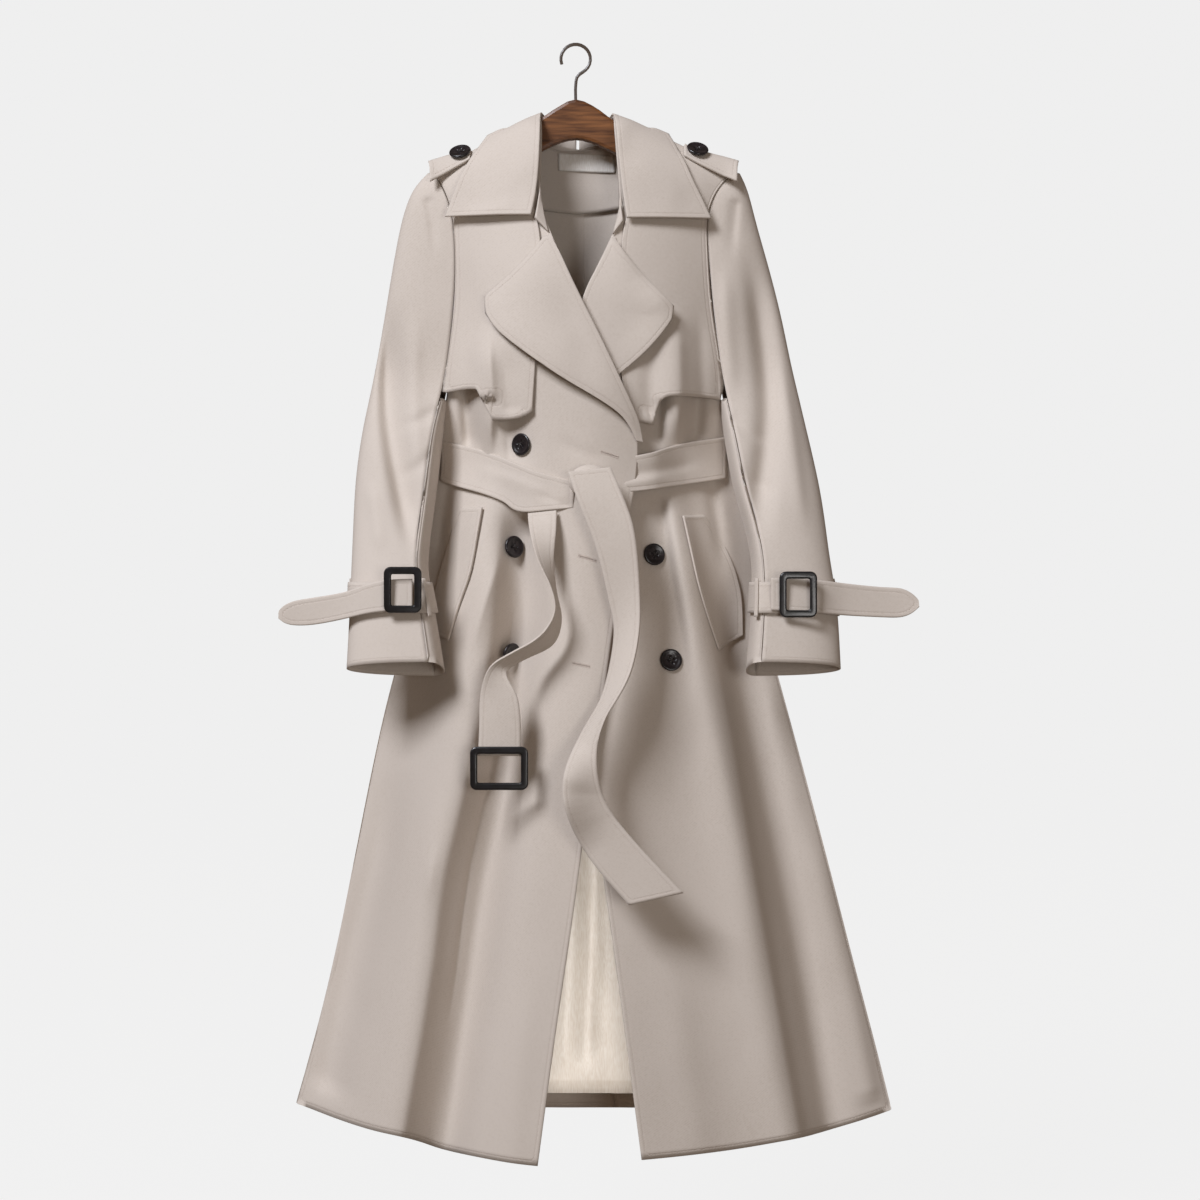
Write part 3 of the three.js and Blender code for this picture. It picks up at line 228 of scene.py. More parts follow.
# Chromed steel wire: mirror-like with hairline drawing marks
def makeChromedWire(name):
    material, tree, shader = newMaterial(name, {
        "Metallic": 1, "Roughness": 0.2, "Base Color": linear("#c9cacc"),
    })
    place = addNode(tree, "ShaderNodeTexCoord").outputs["Object"]
    marks = addNode(tree, "ShaderNodeTexNoise", {"Scale": 1 / (1.2 * mm), "Detail": 2}, {"Vector": place})
    bump = addNode(tree, "ShaderNodeBump", {"Strength": 0.05, "Distance": 0.05 * mm},
                   {"Height": marks.outputs["Fac"]})
    tree.links.new(bump.outputs[0], shader.inputs["Normal"])
    return material


shellCloth = makeGabardine("gabardine_shell", gabardine)
liningCloth = makeSatin("acetate_satin_lining", satin)
labelTape = makeSatin("woven_label_tape", {"light": "#f4f1ec", "dark": "#e6e1d9", "threadSpacing": 0.8,
                                           "roughness": 0.6})
hangerWood = makeStainedBeech("stained_beech_varnish", stainedBeech)
hookSteel = makeChromedWire("chromed_steel_wire")
buttonHorn = makeHorn("polished_horn", polishedHorn)
buckleLacquer = makeLacquer("lacquered_moulding", lacquer)
sewingThread = makeSatin("spun_polyester_thread", {"light": "#d9cdc4", "dark": "#c3b5aa", "threadSpacing": 0.7,
                                                   "roughness": 0.6})
# painted shade: a dark taupe thread laid along each buttonhole slit stands for the shade in the cut
slitShade = makeSatin("shaded_slit_edge", {"light": "#8d7d72", "dark": "#7b6c61", "threadSpacing": 0.7,
                                           "roughness": 0.9})
buttonThread = makeSatin("waxed_dark_thread", {"light": "#3a3230", "dark": "#241f1e", "threadSpacing": 0.7,
                                               "roughness": 0.7})
print("materials ready")


# Cloth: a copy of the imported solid, back in quads, smoothed, then pressed into its smaller creases
def smoothLine(points, steps=8):
    rows = [Vector(p) for p in points]
    rows = [rows[0] * 2 - rows[1]] + rows + [rows[-1] * 2 - rows[-2]]
    line = []
    for a, b, c, d in zip(rows, rows[1:], rows[2:], rows[3:]):
        for i in range(steps):
            t = i / steps
            line.append(0.5 * (2 * b + (c - a) * t + (2 * a - 5 * b + 4 * c - d) * t * t
                               + (3 * b - a - 3 * c + d) * t ** 3))
    line.append(rows[-2])
    return line


def quadCopy(node):
    bm = bmesh.new()
    bm.from_mesh(bpy.data.objects[node].data)
    bmesh.ops.remove_doubles(bm, verts=bm.verts, dist=0.002 * mm)
    bmesh.ops.join_triangles(bm, faces=bm.faces, angle_face_threshold=1.2, angle_shape_threshold=3.1,
                             topology_influence=1)
    return bm


roundedTip = 62  # degrees: a rim that turns by more than this keeps its corner, unless a piece says otherwise


def holdEdges(bm, cornerAngle, sharpAngle=math.radians(50)):
    edgeCrease = bm.edges.layers.float.new("crease_edge")
    cornerCrease = bm.verts.layers.float.new("crease_vert")
    rim = [e for e in bm.edges if len(e.link_faces) == 2 and e.calc_face_angle(0) > sharpAngle]
    for edge in rim:
        edge[edgeCrease] = 1
    rimEdges = set(rim)
    for vert in bm.verts:
        along = [e for e in vert.link_edges if e in rimEdges]
        if len(along) == 3:
            vert[cornerCrease] = 1
        elif len(along) == 2:
            first, second = (e.other_vert(vert).co - vert.co for e in along)
            if first.angle(-second, 0) > cornerAngle:
                vert[cornerCrease] = 1


def smoothed(bm, levels):  # subdivides for good, so that creases can be pressed into the fine mesh
    mesh = bpy.data.meshes.new("cage")
    bm.to_mesh(mesh)
    bm.free()
    cage = bpy.data.objects.new("cage", mesh)
    bpy.context.scene.collection.objects.link(cage)
    smooth = cage.modifiers.new("smooth", "SUBSURF")
    smooth.levels = smooth.render_levels = levels
    bpy.context.view_layer.update()
    fine = bpy.data.meshes.new_from_object(cage.evaluated_get(bpy.context.evaluated_depsgraph_get()))
    bpy.data.objects.remove(cage)
    bpy.data.meshes.remove(mesh)
    fine.shade_smooth()
    return fine


def creaseLift(places, crease):
    # height in mm of a soft ridge, or of a hollow if it is negative, along a line of (x, z) points in mm
    line = np.array([(p.x, p.y) for p in smoothLine([(*p, 0) for p in crease["line"]], 5)])
    starts, spans = line[:-1], line[1:] - line[:-1]
    lengths = np.hypot(spans[:, 0], spans[:, 1])
    before = np.concatenate([[0], np.cumsum(lengths)[:-1]])
    offsets = places[:, None, :] - starts[None]
    share = np.clip((offsets * spans[None]).sum(2) / (lengths ** 2)[None], 0, 1)
    away = offsets - share[..., None] * spans[None]
    distances = np.hypot(away[..., 0], away[..., 1])
    nearest = distances.argmin(1)
    pick = np.arange(len(places))
    side = spans[nearest, 0] * away[pick, nearest, 1] - spans[nearest, 1] * away[pick, nearest, 0]
    run = (before[nearest] + share[pick, nearest] * lengths[nearest]) / lengths.sum()
    width = np.where(side > 0, crease["width"][1], crease["width"][0])
    fadeIn, fadeOut = crease.get("fade", (0.25, 0.25))
    ends = np.clip(run / max(fadeIn, 1e-6), 0, 1) * np.clip((1 - run) / max(fadeOut, 1e-6), 0, 1)
    return crease["height"] * ends * ends * (3 - 2 * ends) * np.exp(-(distances[pick, nearest] / width) ** 2)


def meshPoints(mesh):
    points = np.empty(len(mesh.vertices) * 3)
    mesh.vertices.foreach_get("co", points)
    return points.reshape(-1, 3)


def movePoints(mesh, points):
    mesh.vertices.foreach_set("co", points.ravel())
    mesh.update()


def pressCreases(mesh, creases, towards, rumple):
    # pushed along the lines of sight, so that the outline seen from the front stays as it was cut
    points = meshPoints(mesh)
    places = points[:, [0, 2]] / mm
    lift = sum((creaseLift(places, crease) for crease in creases), np.zeros(len(places)))
    for height, spacing, seed in rumple:
        waves = [noise.noise(Vector((x / spacing, seed, z / (1.6 * spacing)))) for x, z in places]
        lift = lift + height * np.array(waves)
    if towards < 0:
        eye = np.array([view["x"], -view["distance"], view["z"]]) * mm
        sight = eye - points
        points = points + sight * (lift * mm / np.abs(sight[:, 1]))[:, None]
    else:
        points[:, 1] += lift * mm
    movePoints(mesh, points)


def smoothStep(low, high, value):
    share = np.clip((value - low) / (high - low), 0, 1)
    return share * share * (3 - 2 * share)


# Eases in mm, sideways and up: full at x "full", nothing at x "none", between two heights
eases = {
    "waistLeft": {"none": -104, "full": -146, "by": -10, "bottom": (-590, -510), "top": (-398, -440)},
    "waistRight": {"none": 122, "full": 164, "by": 10, "bottom": (-640, -540), "top": (-398, -440)},
    "beltUnderTail": {"none": 92, "full": 48, "by": -30, "bottom": (-600, -590), "top": (-300, -310)},
    "beltToKnot": {"none": -50, "full": -8, "by": 16, "bottom": (-600, -590), "top": (-300, -310)},
    "strapLeft": {"none": -112, "full": -165, "by": 0, "rise": 4, "bottom": (-400, -390), "top": (0, -1)},
    "strapRight": {"none": 130, "full": 184, "by": 0, "rise": 4, "bottom": (-400, -390), "top": (0, -1)},
}


def easeCloth(mesh, names):
    points = meshPoints(mesh)
    for name in names:
        ease = eases[name]
        x, z = points[:, 0] / mm, points[:, 2] / mm
        share = smoothStep(ease["none"], ease["full"], x) * smoothStep(*ease["bottom"], z)
        share = share * smoothStep(*ease["top"], z)
        points[:, 0] += ease["by"] * share * mm
        points[:, 2] += ease.get("rise", 0) * share * mm
    movePoints(mesh, points)


def rimOf(mesh, sharpAngle=math.radians(40)):
    bm = bmesh.new()
    bm.from_mesh(mesh)
    edges = [e for e in bm.edges if len(e.link_faces) == 2 and e.calc_face_angle(0) > sharpAngle]
    rim = [(e.verts[0].index, e.verts[1].index) for e in edges]
    bm.free()
    return rim


def alongRim(mesh, spacing):
    spots = []
    for a, b in rimOf(mesh):
        start, end = mesh.vertices[a].co, mesh.vertices[b].co
        count = max(1, round((end - start).length / (spacing * mm)))
        spots += [start.lerp(end, i / count) for i in range(count)]
    tree = KDTree(len(spots))
    for i, spot in enumerate(spots):
        tree.insert(spot, i)
    tree.balance()
    return tree


def closeSeam(first, second, reach):
    # draws the edge of the first piece up to the edge that it is sewn to
    tree = alongRim(second, 1)
    for index in sorted({i for pair in rimOf(first) for i in pair}):
        vertex = first.vertices[index]
        place, number, distance = tree.find(vertex.co)
        share = min(1, max(0, 2 - 2 * distance / (reach * mm)))
        vertex.co = vertex.co.lerp(place, share)
    first.update()


clearOfEdge = 60.0  # mm, the distance given to cloth that has no sewn edge nearby


def measureFromEdge(mesh):
    # distance in mm from each point to the piece's own edge
    tree = alongRim(mesh, 1.5)
    return np.array([min(clearOfEdge, tree.find(v.co)[2] / mm) for v in mesh.vertices])


def storeFromEdge(mesh, distances):
    layer = mesh.attributes.get("fromEdge") or mesh.attributes.new("fromEdge", "FLOAT", "POINT")
    layer.data.foreach_set("value", distances)


# Folds pressed into the cloth, each a line of (x, z) points in mm, top to bottom, with the height of the
# ridge (a hollow if negative), its width left and right of the line, and the shares over which it fades
folds = {
    "skirtLeft": [
        {"line": [(-84, -516), (-90, -620), (-97, -704), (-120, -832), (-147, -946), (-162, -1059), (-194, -1245)],
         "height": 9, "width": (30, 10), "fade": (0.15, 0)},
        {"line": [(-60, -512), (-52, -610), (-60, -704), (-80, -832), (-97, -946), (-114, -1059), (-146, -1245)],
         "height": -26, "width": (27, 24), "fade": (0.08, 0)},
        {"line": [(-90, -833), (-115, -946), (-130, -1059), (-152, -1250)], "height": 5, "width": (12, 12),
         "fade": (0.1, 0)},
        {"line": [(-200, -800), (-224, -930), (-250, -1030), (-282, -1200)], "height": -9, "width": (18, 26),
         "fade": (0.3, 0.05)},
        {"line": [(-140, -480), (-150, -540), (-160, -610)], "height": -5, "width": (8, 8), "fade": (0.3, 0.4)},
        {"line": [(-38, -1000), (-60, -1120), (-70, -1250)], "height": 3, "width": (24, 18), "fade": (0.5, 0)},
    ],
    "skirtRight": [
        {"line": [(118, -520), (132, -600), (152, -681), (172, -775), (192, -900), (212, -1020), (252, -1250)],
         "height": 12, "width": (26, 8), "fade": (0.15, 0)},
        {"line": [(138, -560), (176, -681), (204, -813), (228, -927), (256, -1060), (288, -1245)],
         "height": -13, "width": (14, 22), "fade": (0.2, 0)},
        {"line": [(92, -512), (99, -567), (107, -620), (116, -674), (128, -760)], "height": -17,
         "width": (42, 9), "fade": (0.1, 0.5)},
        {"line": [(262, -860), (290, -980), (316, -1090), (336, -1200)], "height": 5, "width": (16, 12),
         "fade": (0.3, 0)},
        {"line": [(152, -480), (160, -540), (172, -610)], "height": -5, "width": (8, 8), "fade": (0.3, 0.4)},
        {"line": [(96, -1010), (118, -1120), (136, -1250)], "height": 3, "width": (24, 20), "fade": (0.5, 0)},
    ],
    "chestLeft": [
        {"line": [(-93, -376), (-95, -420), (-98, -492)], "height": 14, "width": (14, 7), "fade": (0.25, 0.5)},
        {"line": [(-124, -380), (-123, -420), (-119, -476)], "height": -13, "width": (8, 10), "fade": (0.2, 0.25)},
        {"line": [(-76, -380), (-74, -430), (-70, -500)], "height": -9, "width": (8, 24), "fade": (0.3, 0.3)},
        {"line": [(-30, -455), (8, -474), (44, -482)], "height": -1.6, "width": (7, 7), "fade": (0.4, 0.3)},
    ],
    "chestRight": [
        {"line": [(118, -376), (117, -420), (115, -480)], "height": 14, "width": (14, 7), "fade": (0.25, 0.5)},
        {"line": [(138, -385), (137, -425), (133, -466)], "height": -14, "width": (8, 10), "fade": (0.2, 0.25)},
        {"line": [(94, -390), (92, -430), (90, -476)], "height": -10, "width": (18, 8), "fade": (0.3, 0.3)},
    ],
    "flapLeft": [
        {"line": [(-98, -326), (-96, -365), (-93, -412)], "height": 8, "width": (20, 7), "fade": (0.6, 0)},
        {"line": [(-80, -350), (-76, -385), (-72, -430)], "height": -3.5, "width": (7, 18), "fade": (0.5, 0)},
        {"line": [(-124, -236), (-121, -300), (-123, -400)], "height": -2.5, "width": (12, 12), "fade": (0.4, 0.2)},
    ],
    "flapRight": [
        {"line": [(112, -300), (115, -350), (116, -415)], "height": 7, "width": (20, 10), "fade": (0.5, 0)},
        {"line": [(138, -300), (141, -350), (143, -410)], "height": -3, "width": (9, 9), "fade": (0.5, 0)},
        {"line": [(86, -345), (84, -380), (82, -430)], "height": -3, "width": (10, 10), "fade": (0.5, 0)},
    ],
    "sleeveLeft": [
        {"line": [(-206, -290), (-213, -345), (-213, -410), (-204, -470), (-188, -540), (-172, -600)],
         "height": -17, "width": (10, 18), "fade": (0.3, 0.25)},
        {"line": [(-183, -300), (-184, -380), (-180, -450), (-170, -520)], "height": 4, "width": (12, 10),
         "fade": (0.3, 0.3)},
        {"line": [(-152, -420), (-178, -436), (-206, -440)], "height": -3, "width": (6, 7), "fade": (0.1, 0.5)},
        {"line": [(-156, -470), (-180, -492), (-204, -500)], "height": -3, "width": (6, 7), "fade": (0.1, 0.5)},
        {"line": [(-232, -500), (-222, -540), (-214, -590)], "height": 3, "width": (8, 10), "fade": (0.3, 0.3)},
        {"line": [(-170, -176), (-163, -210), (-158, -260)], "height": -2.5, "width": (5, 8), "fade": (0.1, 0.6)},
    ],
    "sleeveRight": [
        {"line": [(194, -226), (207, -300), (217, -390), (214, -460), (204, -530), (197, -590)],
         "height": -14, "width": (12, 15), "fade": (0.3, 0.25)},
        {"line": [(232, -350), (242, -430), (250, -520), (254, -570)], "height": 4, "width": (12, 8),
         "fade": (0.3, 0.3)},
        {"line": [(168, -250), (172, -330), (178, -420)], "height": 4, "width": (8, 10), "fade": (0.3, 0.3)},
        {"line": [(172, -430), (196, -452), (222, -460)], "height": -3, "width": (6, 7), "fade": (0.1, 0.5)},
        {"line": [(180, -490), (204, -510), (230, -516)], "height": -3, "width": (6, 7), "fade": (0.1, 0.5)},
        {"line": [(184, -178), (180, -215), (176, -260)], "height": -2.5, "width": (8, 5), "fade": (0.1, 0.6)},
    ],
    "beltLeft": [
        {"line": [(-120, -486), (-60, -507), (-8, -530)], "height": 1.6, "width": (9, 6), "fade": (0.3, 0.1)},
        {"line": [(-48, -516), (-18, -528), (0, -536)], "height": -2.2, "width": (5, 8), "fade": (0.4, 0)},
    ],
    "beltRight": [
        {"line": [(52, -500), (96, -492), (150, -478)], "height": -2, "width": (6, 8), "fade": (0.1, 0.4)},
        {"line": [(50, -509), (80, -504), (110, -500)], "height": 1.6, "width": (5, 5), "fade": (0.1, 0.5)},
    ],
    "tailWide": [
        {"line": [(4, -784), (-12, -826), (-16, -850), (-6, -884), (12, -914)], "height": 20, "width": (16, 32),
         "fade": (0.35, 0.5)},
    ],
    "collarLeft": [
        {"line": [(-34, -122), (-70, -160), (-112, -196)], "height": 1.6, "width": (18, 18), "fade": (0.3, 0.3)},
        {"line": [(-60, -190), (-90, -200), (-130, -204)], "height": 1.5, "width": (9, 9), "fade": (0.3, 0.3)},
    ],
    "collarRight": [
        {"line": [(60, -130), (90, -160), (130, -196)], "height": 1.6, "width": (18, 18), "fade": (0.3, 0.3)},
    ],
    "lapelLeft": [
        {"line": [(-84, -262), (-98, -308), (-70, -352), (-20, -392), (30, -440)], "height": 6, "width": (26, 26),
         "fade": (0.25, 0.5)},
        {"line": [(-30, -280), (0, -340), (34, -410)], "height": -2.5, "width": (22, 14), "fade": (0.4, 0.4)},
    ],
    "lapelRight": [
        {"line": [(76, -268), (108, -318), (84, -360), (50, -392)], "height": 7, "width": (26, 26),
         "fade": (0.3, 0.4)},
    ],
    "liningWrinkles": [
        {"line": [(6, -905 - 31 * i), (24, -914 - 31 * i - 5 * (i % 3)), (44, -906 - 31 * i)],
         "height": 1.8 + 0.9 * (i % 2), "width": (5, 7), "fade": (0.7, 0.1)} for i in range(9)
    ] + [
        {"line": [(-8, -860), (-2, -1000), (-12, -1190)], "height": 4, "width": (14, 10), "fade": (0.3, 0.1)},
        {"line": [(22, -880), (20, -1000), (10, -1190)], "height": -3, "width": (9, 9), "fade": (0.3, 0.1)},
        {"line": [(-14, -1190), (10, -1184), (44, -1190)], "height": 2.5, "width": (6, 6), "fade": (0.2, 0.2)},
    ],
    "backWaist": [
        {"line": [(sign * 60 + 12, -440), (sign * 66 + 12, -560), (sign * 104 + 12, -820), (sign * 140 + 12, -1220)],
         "height": 9, "width": (20, 16), "fade": (0.25, 0)} for sign in (-1, 1)
    ] + [
        {"line": [(sign * 104 + 12, -540), (sign * 150 + 12, -820), (sign * 196 + 12, -1210)],
         "height": -8, "width": (18, 18), "fade": (0.3, 0)} for sign in (-1, 1)
    ] + [
        {"line": [(sign * 70 + 12, -300), (sign * 64 + 12, -380), (sign * 58 + 12, -455)],
         "height": 5, "width": (14, 14), "fade": (0.4, 0.2)} for sign in (-1, 1)
    ],
}
softRumple = [(1.4, 120, 3.0), (0.6, 38, 9.0)]  # height and spacing in mm of the cloth's faint unevenness

clothPieces = {
    "front_left": {"flat": (0.46, 1.2), "held": "hung", "on": ["hanger_wood"], "levels": 3, "eases": ["waistLeft"],
                   "folds": ["skirtLeft", "chestLeft"], "sewn": [(-60, 62, -1290, -430), (-345, -30, -1290, -1150)]},
    "front_right": {"flat": (0.46, 1.2), "held": "hung", "on": ["hanger_wood"], "levels": 3,
                    "eases": ["waistRight"],
                    "folds": ["skirtRight", "chestRight"],
                    "sewn": [(10, 86, -1290, -860), (60, 385, -1290, -1150)]},
    "back_left": {"flat": (0.42, 1.2), "held": "hung", "on": ["hanger_wood"], "levels": 3, "towards": 1,
                  "folds": ["backWaist"], "sewn": [(-345, 30, -1290, -1130)], "eases": ["waistLeft"]},
    "back_right": {"flat": (0.42, 1.2), "held": "hung", "on": ["hanger_wood"], "levels": 3, "towards": 1,
                   "folds": ["backWaist"], "sewn": [(0, 385, -1290, -1130)], "eases": ["waistRight"]},
    "lining_back": {"flat": (0.62, 1.12), "held": "hung", "on": ["back_left"], "slot": "lining", "levels": 3,
                    "folds": ["liningWrinkles"]},
    "neck_facing": {"flat": (0.12, 0.11), "held": "stretched", "on": ["lining_back"]},
    "neck_label": {"flat": (0.07, 0.025), "held": "stretched", "on": ["neck_facing"], "slot": "label"},
    "lapel_left": {"flat": (0.15, 0.26), "held": "folded", "on": ["front_left"], "levels": 3, "sewn": True,
                   "folds": ["lapelLeft"], "cornerAngle": 28},
    "lapel_right": {"flat": (0.12, 0.22), "held": "folded", "on": ["front_right"], "levels": 3, "sewn": True,
                    "folds": ["lapelRight"], "cornerAngle": 28},
    "collar_left": {"flat": (0.12, 0.25), "held": "folded", "on": ["collar_stand_left"], "levels": 3,
                    "folds": ["collarLeft"], "sewn": True},
    "collar_right": {"flat": (0.12, 0.25), "held": "folded", "on": ["collar_stand_right"], "levels": 3,
                     "folds": ["collarRight"], "sewn": True},
    "collar_stand_left": {"flat": (0.04, 0.21), "held": "stretched", "on": ["back_left"]},
    "collar_stand_right": {"flat": (0.04, 0.21), "held": "stretched", "on": ["back_right"]},
    "storm_flap_left": {"flat": (0.14, 0.36), "held": "hung", "on": ["front_left"], "levels": 3,
                        "folds": ["flapLeft"], "sewn": [(-145, -30, -460, -200)]},
    "storm_flap_right": {"flat": (0.14, 0.36), "held": "hung", "on": ["front_right"], "levels": 3,
                         "folds": ["flapRight"], "sewn": [(40, 160, -460, -200)]},
    "sleeve_left_upper": {"flat": (0.22, 0.6), "held": "hung", "on": ["front_left"], "levels": 3,
                          "folds": ["sleeveLeft"], "sewn": [(-270, -120, -740, -684)]},
    "sleeve_right_upper": {"flat": (0.22, 0.6), "held": "hung", "on": ["front_right"], "levels": 3,
                           "folds": ["sleeveRight"], "sewn": [(150, 300, -740, -684)]},
    "sleeve_left_under": {"flat": (0.17, 0.36), "held": "hung", "on": ["sleeve_left_upper"]},
    "sleeve_right_under": {"flat": (0.17, 0.36), "held": "hung", "on": ["sleeve_right_upper"]},
    "cuff_strap_left": {"flat": (0.3, 0.035), "held": "stretched", "on": ["sleeve_left_upper"], "sewn": True,
                        "bothSides": True},
    "cuff_strap_right": {"flat": (0.3, 0.035), "held": "stretched", "on": ["sleeve_right_upper"], "sewn": True,
                         "bothSides": True},
    "cuff_tail_left": {"flat": (0.17, 0.037), "held": "hung", "on": ["cuff_strap_left"], "levels": 3,
                       "sewn": True, "bothSides": True},
    "cuff_tail_right": {"flat": (0.18, 0.037), "held": "hung", "on": ["cuff_strap_right"], "levels": 3,
                        "sewn": True, "bothSides": True},
    "cuff_loop_left_inner": {"flat": (0.012, 0.03), "held": "stretched", "on": ["cuff_strap_left"]},
    "cuff_loop_left_outer": {"flat": (0.012, 0.03), "held": "stretched", "on": ["cuff_strap_left"]},
    "cuff_loop_right_inner": {"flat": (0.012, 0.03), "held": "stretched", "on": ["cuff_strap_right"]},
    "cuff_loop_right_outer": {"flat": (0.012, 0.03), "held": "stretched", "on": ["cuff_strap_right"]},
    "epaulette_left": {"flat": (0.13, 0.06), "held": "stretched", "on": ["sleeve_left_upper"], "sewn": True,
                       "bothSides": True, "eases": ["strapLeft"]},
    "epaulette_right": {"flat": (0.13, 0.07), "held": "stretched", "on": ["sleeve_right_upper"], "sewn": True,
                        "bothSides": True, "eases": ["strapRight"]},
    "belt_left": {"flat": (0.16, 0.055), "held": "stretched", "on": ["front_left"], "sewn": True,
                  "folds": ["beltLeft"], "levels": 3, "eases": ["waistLeft", "beltToKnot"]},
    "belt_right": {"flat": (0.14, 0.055), "held": "stretched", "on": ["front_right"], "sewn": True,
                   "folds": ["beltRight"], "levels": 3, "eases": ["waistRight", "beltUnderTail"]},
    "belt_back": {"flat": (0.34, 0.055), "held": "stretched", "on": ["back_left"], "sewn": True, "towards": 1,
                  "eases": ["waistLeft", "waistRight"]},
    "belt_knot": {"flat": (0.055, 0.06), "held": "gathered", "on": ["front_left"], "levels": 2},
    "belt_tail_wide": {"flat": (0.055, 0.52), "held": "hung", "on": ["belt_knot"], "levels": 3, "sewn": True,
                       "bothSides": True, "folds": ["tailWide"]},
    "belt_tail_buckle": {"flat": (0.055, 0.32), "held": "hung", "on": ["belt_left"], "levels": 3, "sewn": True,
                         "bothSides": True},
    "pocket_left": {"flat": (0.05, 0.16), "held": "stretched", "on": ["front_left"], "sewn": True,
                    "folds": ["skirtLeft"], "levels": 3},
    "pocket_right": {"flat": (0.05, 0.17), "held": "stretched", "on": ["front_right"], "sewn": True,
                     "folds": ["skirtRight"], "levels": 3},
}


def foldsOf(settings):
    return [crease for name in settings.get("folds", []) for crease in folds[name]]


meshes, areas = {}, {}
for node, settings in clothPieces.items():
    bm = quadCopy(node)
    holdEdges(bm, math.radians(settings.get("cornerAngle", roundedTip)))
    areas[node] = sum(f.calc_area() for f in bm.faces) / 2
    meshes[node] = smoothed(bm, settings.get("levels", 2))
    easeCloth(meshes[node], settings.get("eases", []))
    pressCreases(meshes[node], foldsOf(settings), settings.get("towards", -1), softRumple)
print("cloth smoothed and pressed")

# Seams: the piece whose edge is drawn up, the piece it is sewn to, and how far in mm it may be drawn
seams = [
    ("sleeve_left_under", "sleeve_left_upper", 9), ("sleeve_right_under", "sleeve_right_upper", 9),
    ("back_left", "back_right", 5), ("front_left", "back_left", 7), ("front_right", "back_right", 7),
    ("storm_flap_left", "sleeve_left_upper", 9), ("storm_flap_right", "sleeve_right_upper", 9),
]
for first, second, reach in seams:
    closeSeam(meshes[first], meshes[second], reach)
print("seams closed")


# Lockstitch along the edges: a thread that dips into the cloth between one stitch and the next
stitching = {"inset": 5, "pitch": 3.6, "length": 2.7, "thread": 0.34, "rise": 0.22, "dip": 0.2, "shortest": 14}


def linesAtDistance(mesh, distances, inset, keep):
    # the lines on a mesh that lie one distance from its edge, as runs of places and normals
    mesh.calc_loop_triangles()
    corners = np.array([t.vertices[:] for t in mesh.loop_triangles])
    inside = distances[corners] > inset
    spots, links = {}, {}
    for triangle in corners[inside.any(1) & ~inside.all(1)]:
        crossed = []
        for a, b in ((0, 1), (1, 2), (2, 0)):
            i, j = sorted((int(triangle[a]), int(triangle[b])))
            if (distances[i] > inset) != (distances[j] > inset):
                share = (inset - distances[i]) / (distances[j] - distances[i])
                one, two = mesh.vertices[i], mesh.vertices[j]
                spots[i, j] = one.co.lerp(two.co, share), one.normal.lerp(two.normal, share).normalized()
                crossed.append((i, j))
        links.setdefault(crossed[0], []).append(crossed[1])
        links.setdefault(crossed[1], []).append(crossed[0])
    links = {key: [k for k in near if keep(*spots[k])] for key, near in links.items() if keep(*spots[key])}
    lines, used = [], set()
    for start in sorted(links, key=lambda key: (len(links[key]) != 1, key)):
        if start in used:
            continue
        run, here = [], start
        while here is not None:
            used.add(here)
            run.append(spots[here])
            here = next((k for k in links[here] if k not in used), None)
        lines.append(run)
    return lines


def addStitches(curve, line, sewing):
    spots = [place for place, normal in line]
    reach = np.concatenate([[0], np.cumsum([(b - a).length for a, b in zip(spots, spots[1:])])]) / mm
    if reach[-1] < sewing["shortest"]:
        return 0
    table = np.array([[*place, *normal] for place, normal in line])
    count = int(reach[-1] // sewing["pitch"])
    for i in range(count):
        stitch = curve.splines.new("POLY")
        stitch.points.add(2)
        for j, lift in enumerate((-sewing["dip"], sewing["rise"], -sewing["dip"])):
            at = i * sewing["pitch"] + j * sewing["length"] / 2
            row = np.array([np.interp(at, reach, column) for column in table.T])
            stitch.points[j].co = (*(row[:3] + row[3:] * lift * mm), 1)
    return count


def threadMesh(curve, name):
    holder = bpy.data.objects.new(name, curve)
    bpy.context.scene.collection.objects.link(holder)
    bpy.context.view_layer.update()
    mesh = bpy.data.meshes.new_from_object(holder.evaluated_get(bpy.context.evaluated_depsgraph_get()))
    bpy.data.objects.remove(holder)
    mesh.shade_smooth()
    return mesh


def newThread(name, thickness):
    curve = bpy.data.curves.new(name, "CURVE")
    curve.dimensions = "3D"
    curve.bevel_depth = thickness / 2 * mm
    curve.bevel_resolution = 0
    curve.use_fill_caps = True
    return curve


def addPiece(name, mesh, material, nodes=()):
    mesh.materials.clear()
    mesh.materials.append(material)
    piece = bpy.data.objects.new(name, mesh)
    bpy.context.scene.collection.objects.link(piece)
    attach(piece, "root")
    if nodes:
        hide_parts(*nodes)
    return piece


def sewnPart(places, boxes):
    x, z = places[:, 0], places[:, 2]
    inside = [(x > low) & (x < high) & (z > bottom) & (z < top) for low, high, bottom, top in boxes]
    return np.logical_or.reduce(inside)


def faceUpperInside(piece, settings):
    # the back lining starts below a deep facing of shell cloth, which has a seam down its middle, pressed in with
    # painted shade along it
    mesh = piece.data
    mesh.materials.append(shellCloth)
    for face in mesh.polygons:
        face.material_index = 1 if face.center.z > settings["bottom"] * mm else 0
    places = meshPoints(mesh) / mm
    # the seam line feeds both the shell's groove bump and its painted shade
    storeFromEdge(mesh, gabardine["stitchInset"] + places[:, 0] - settings["seamX"])


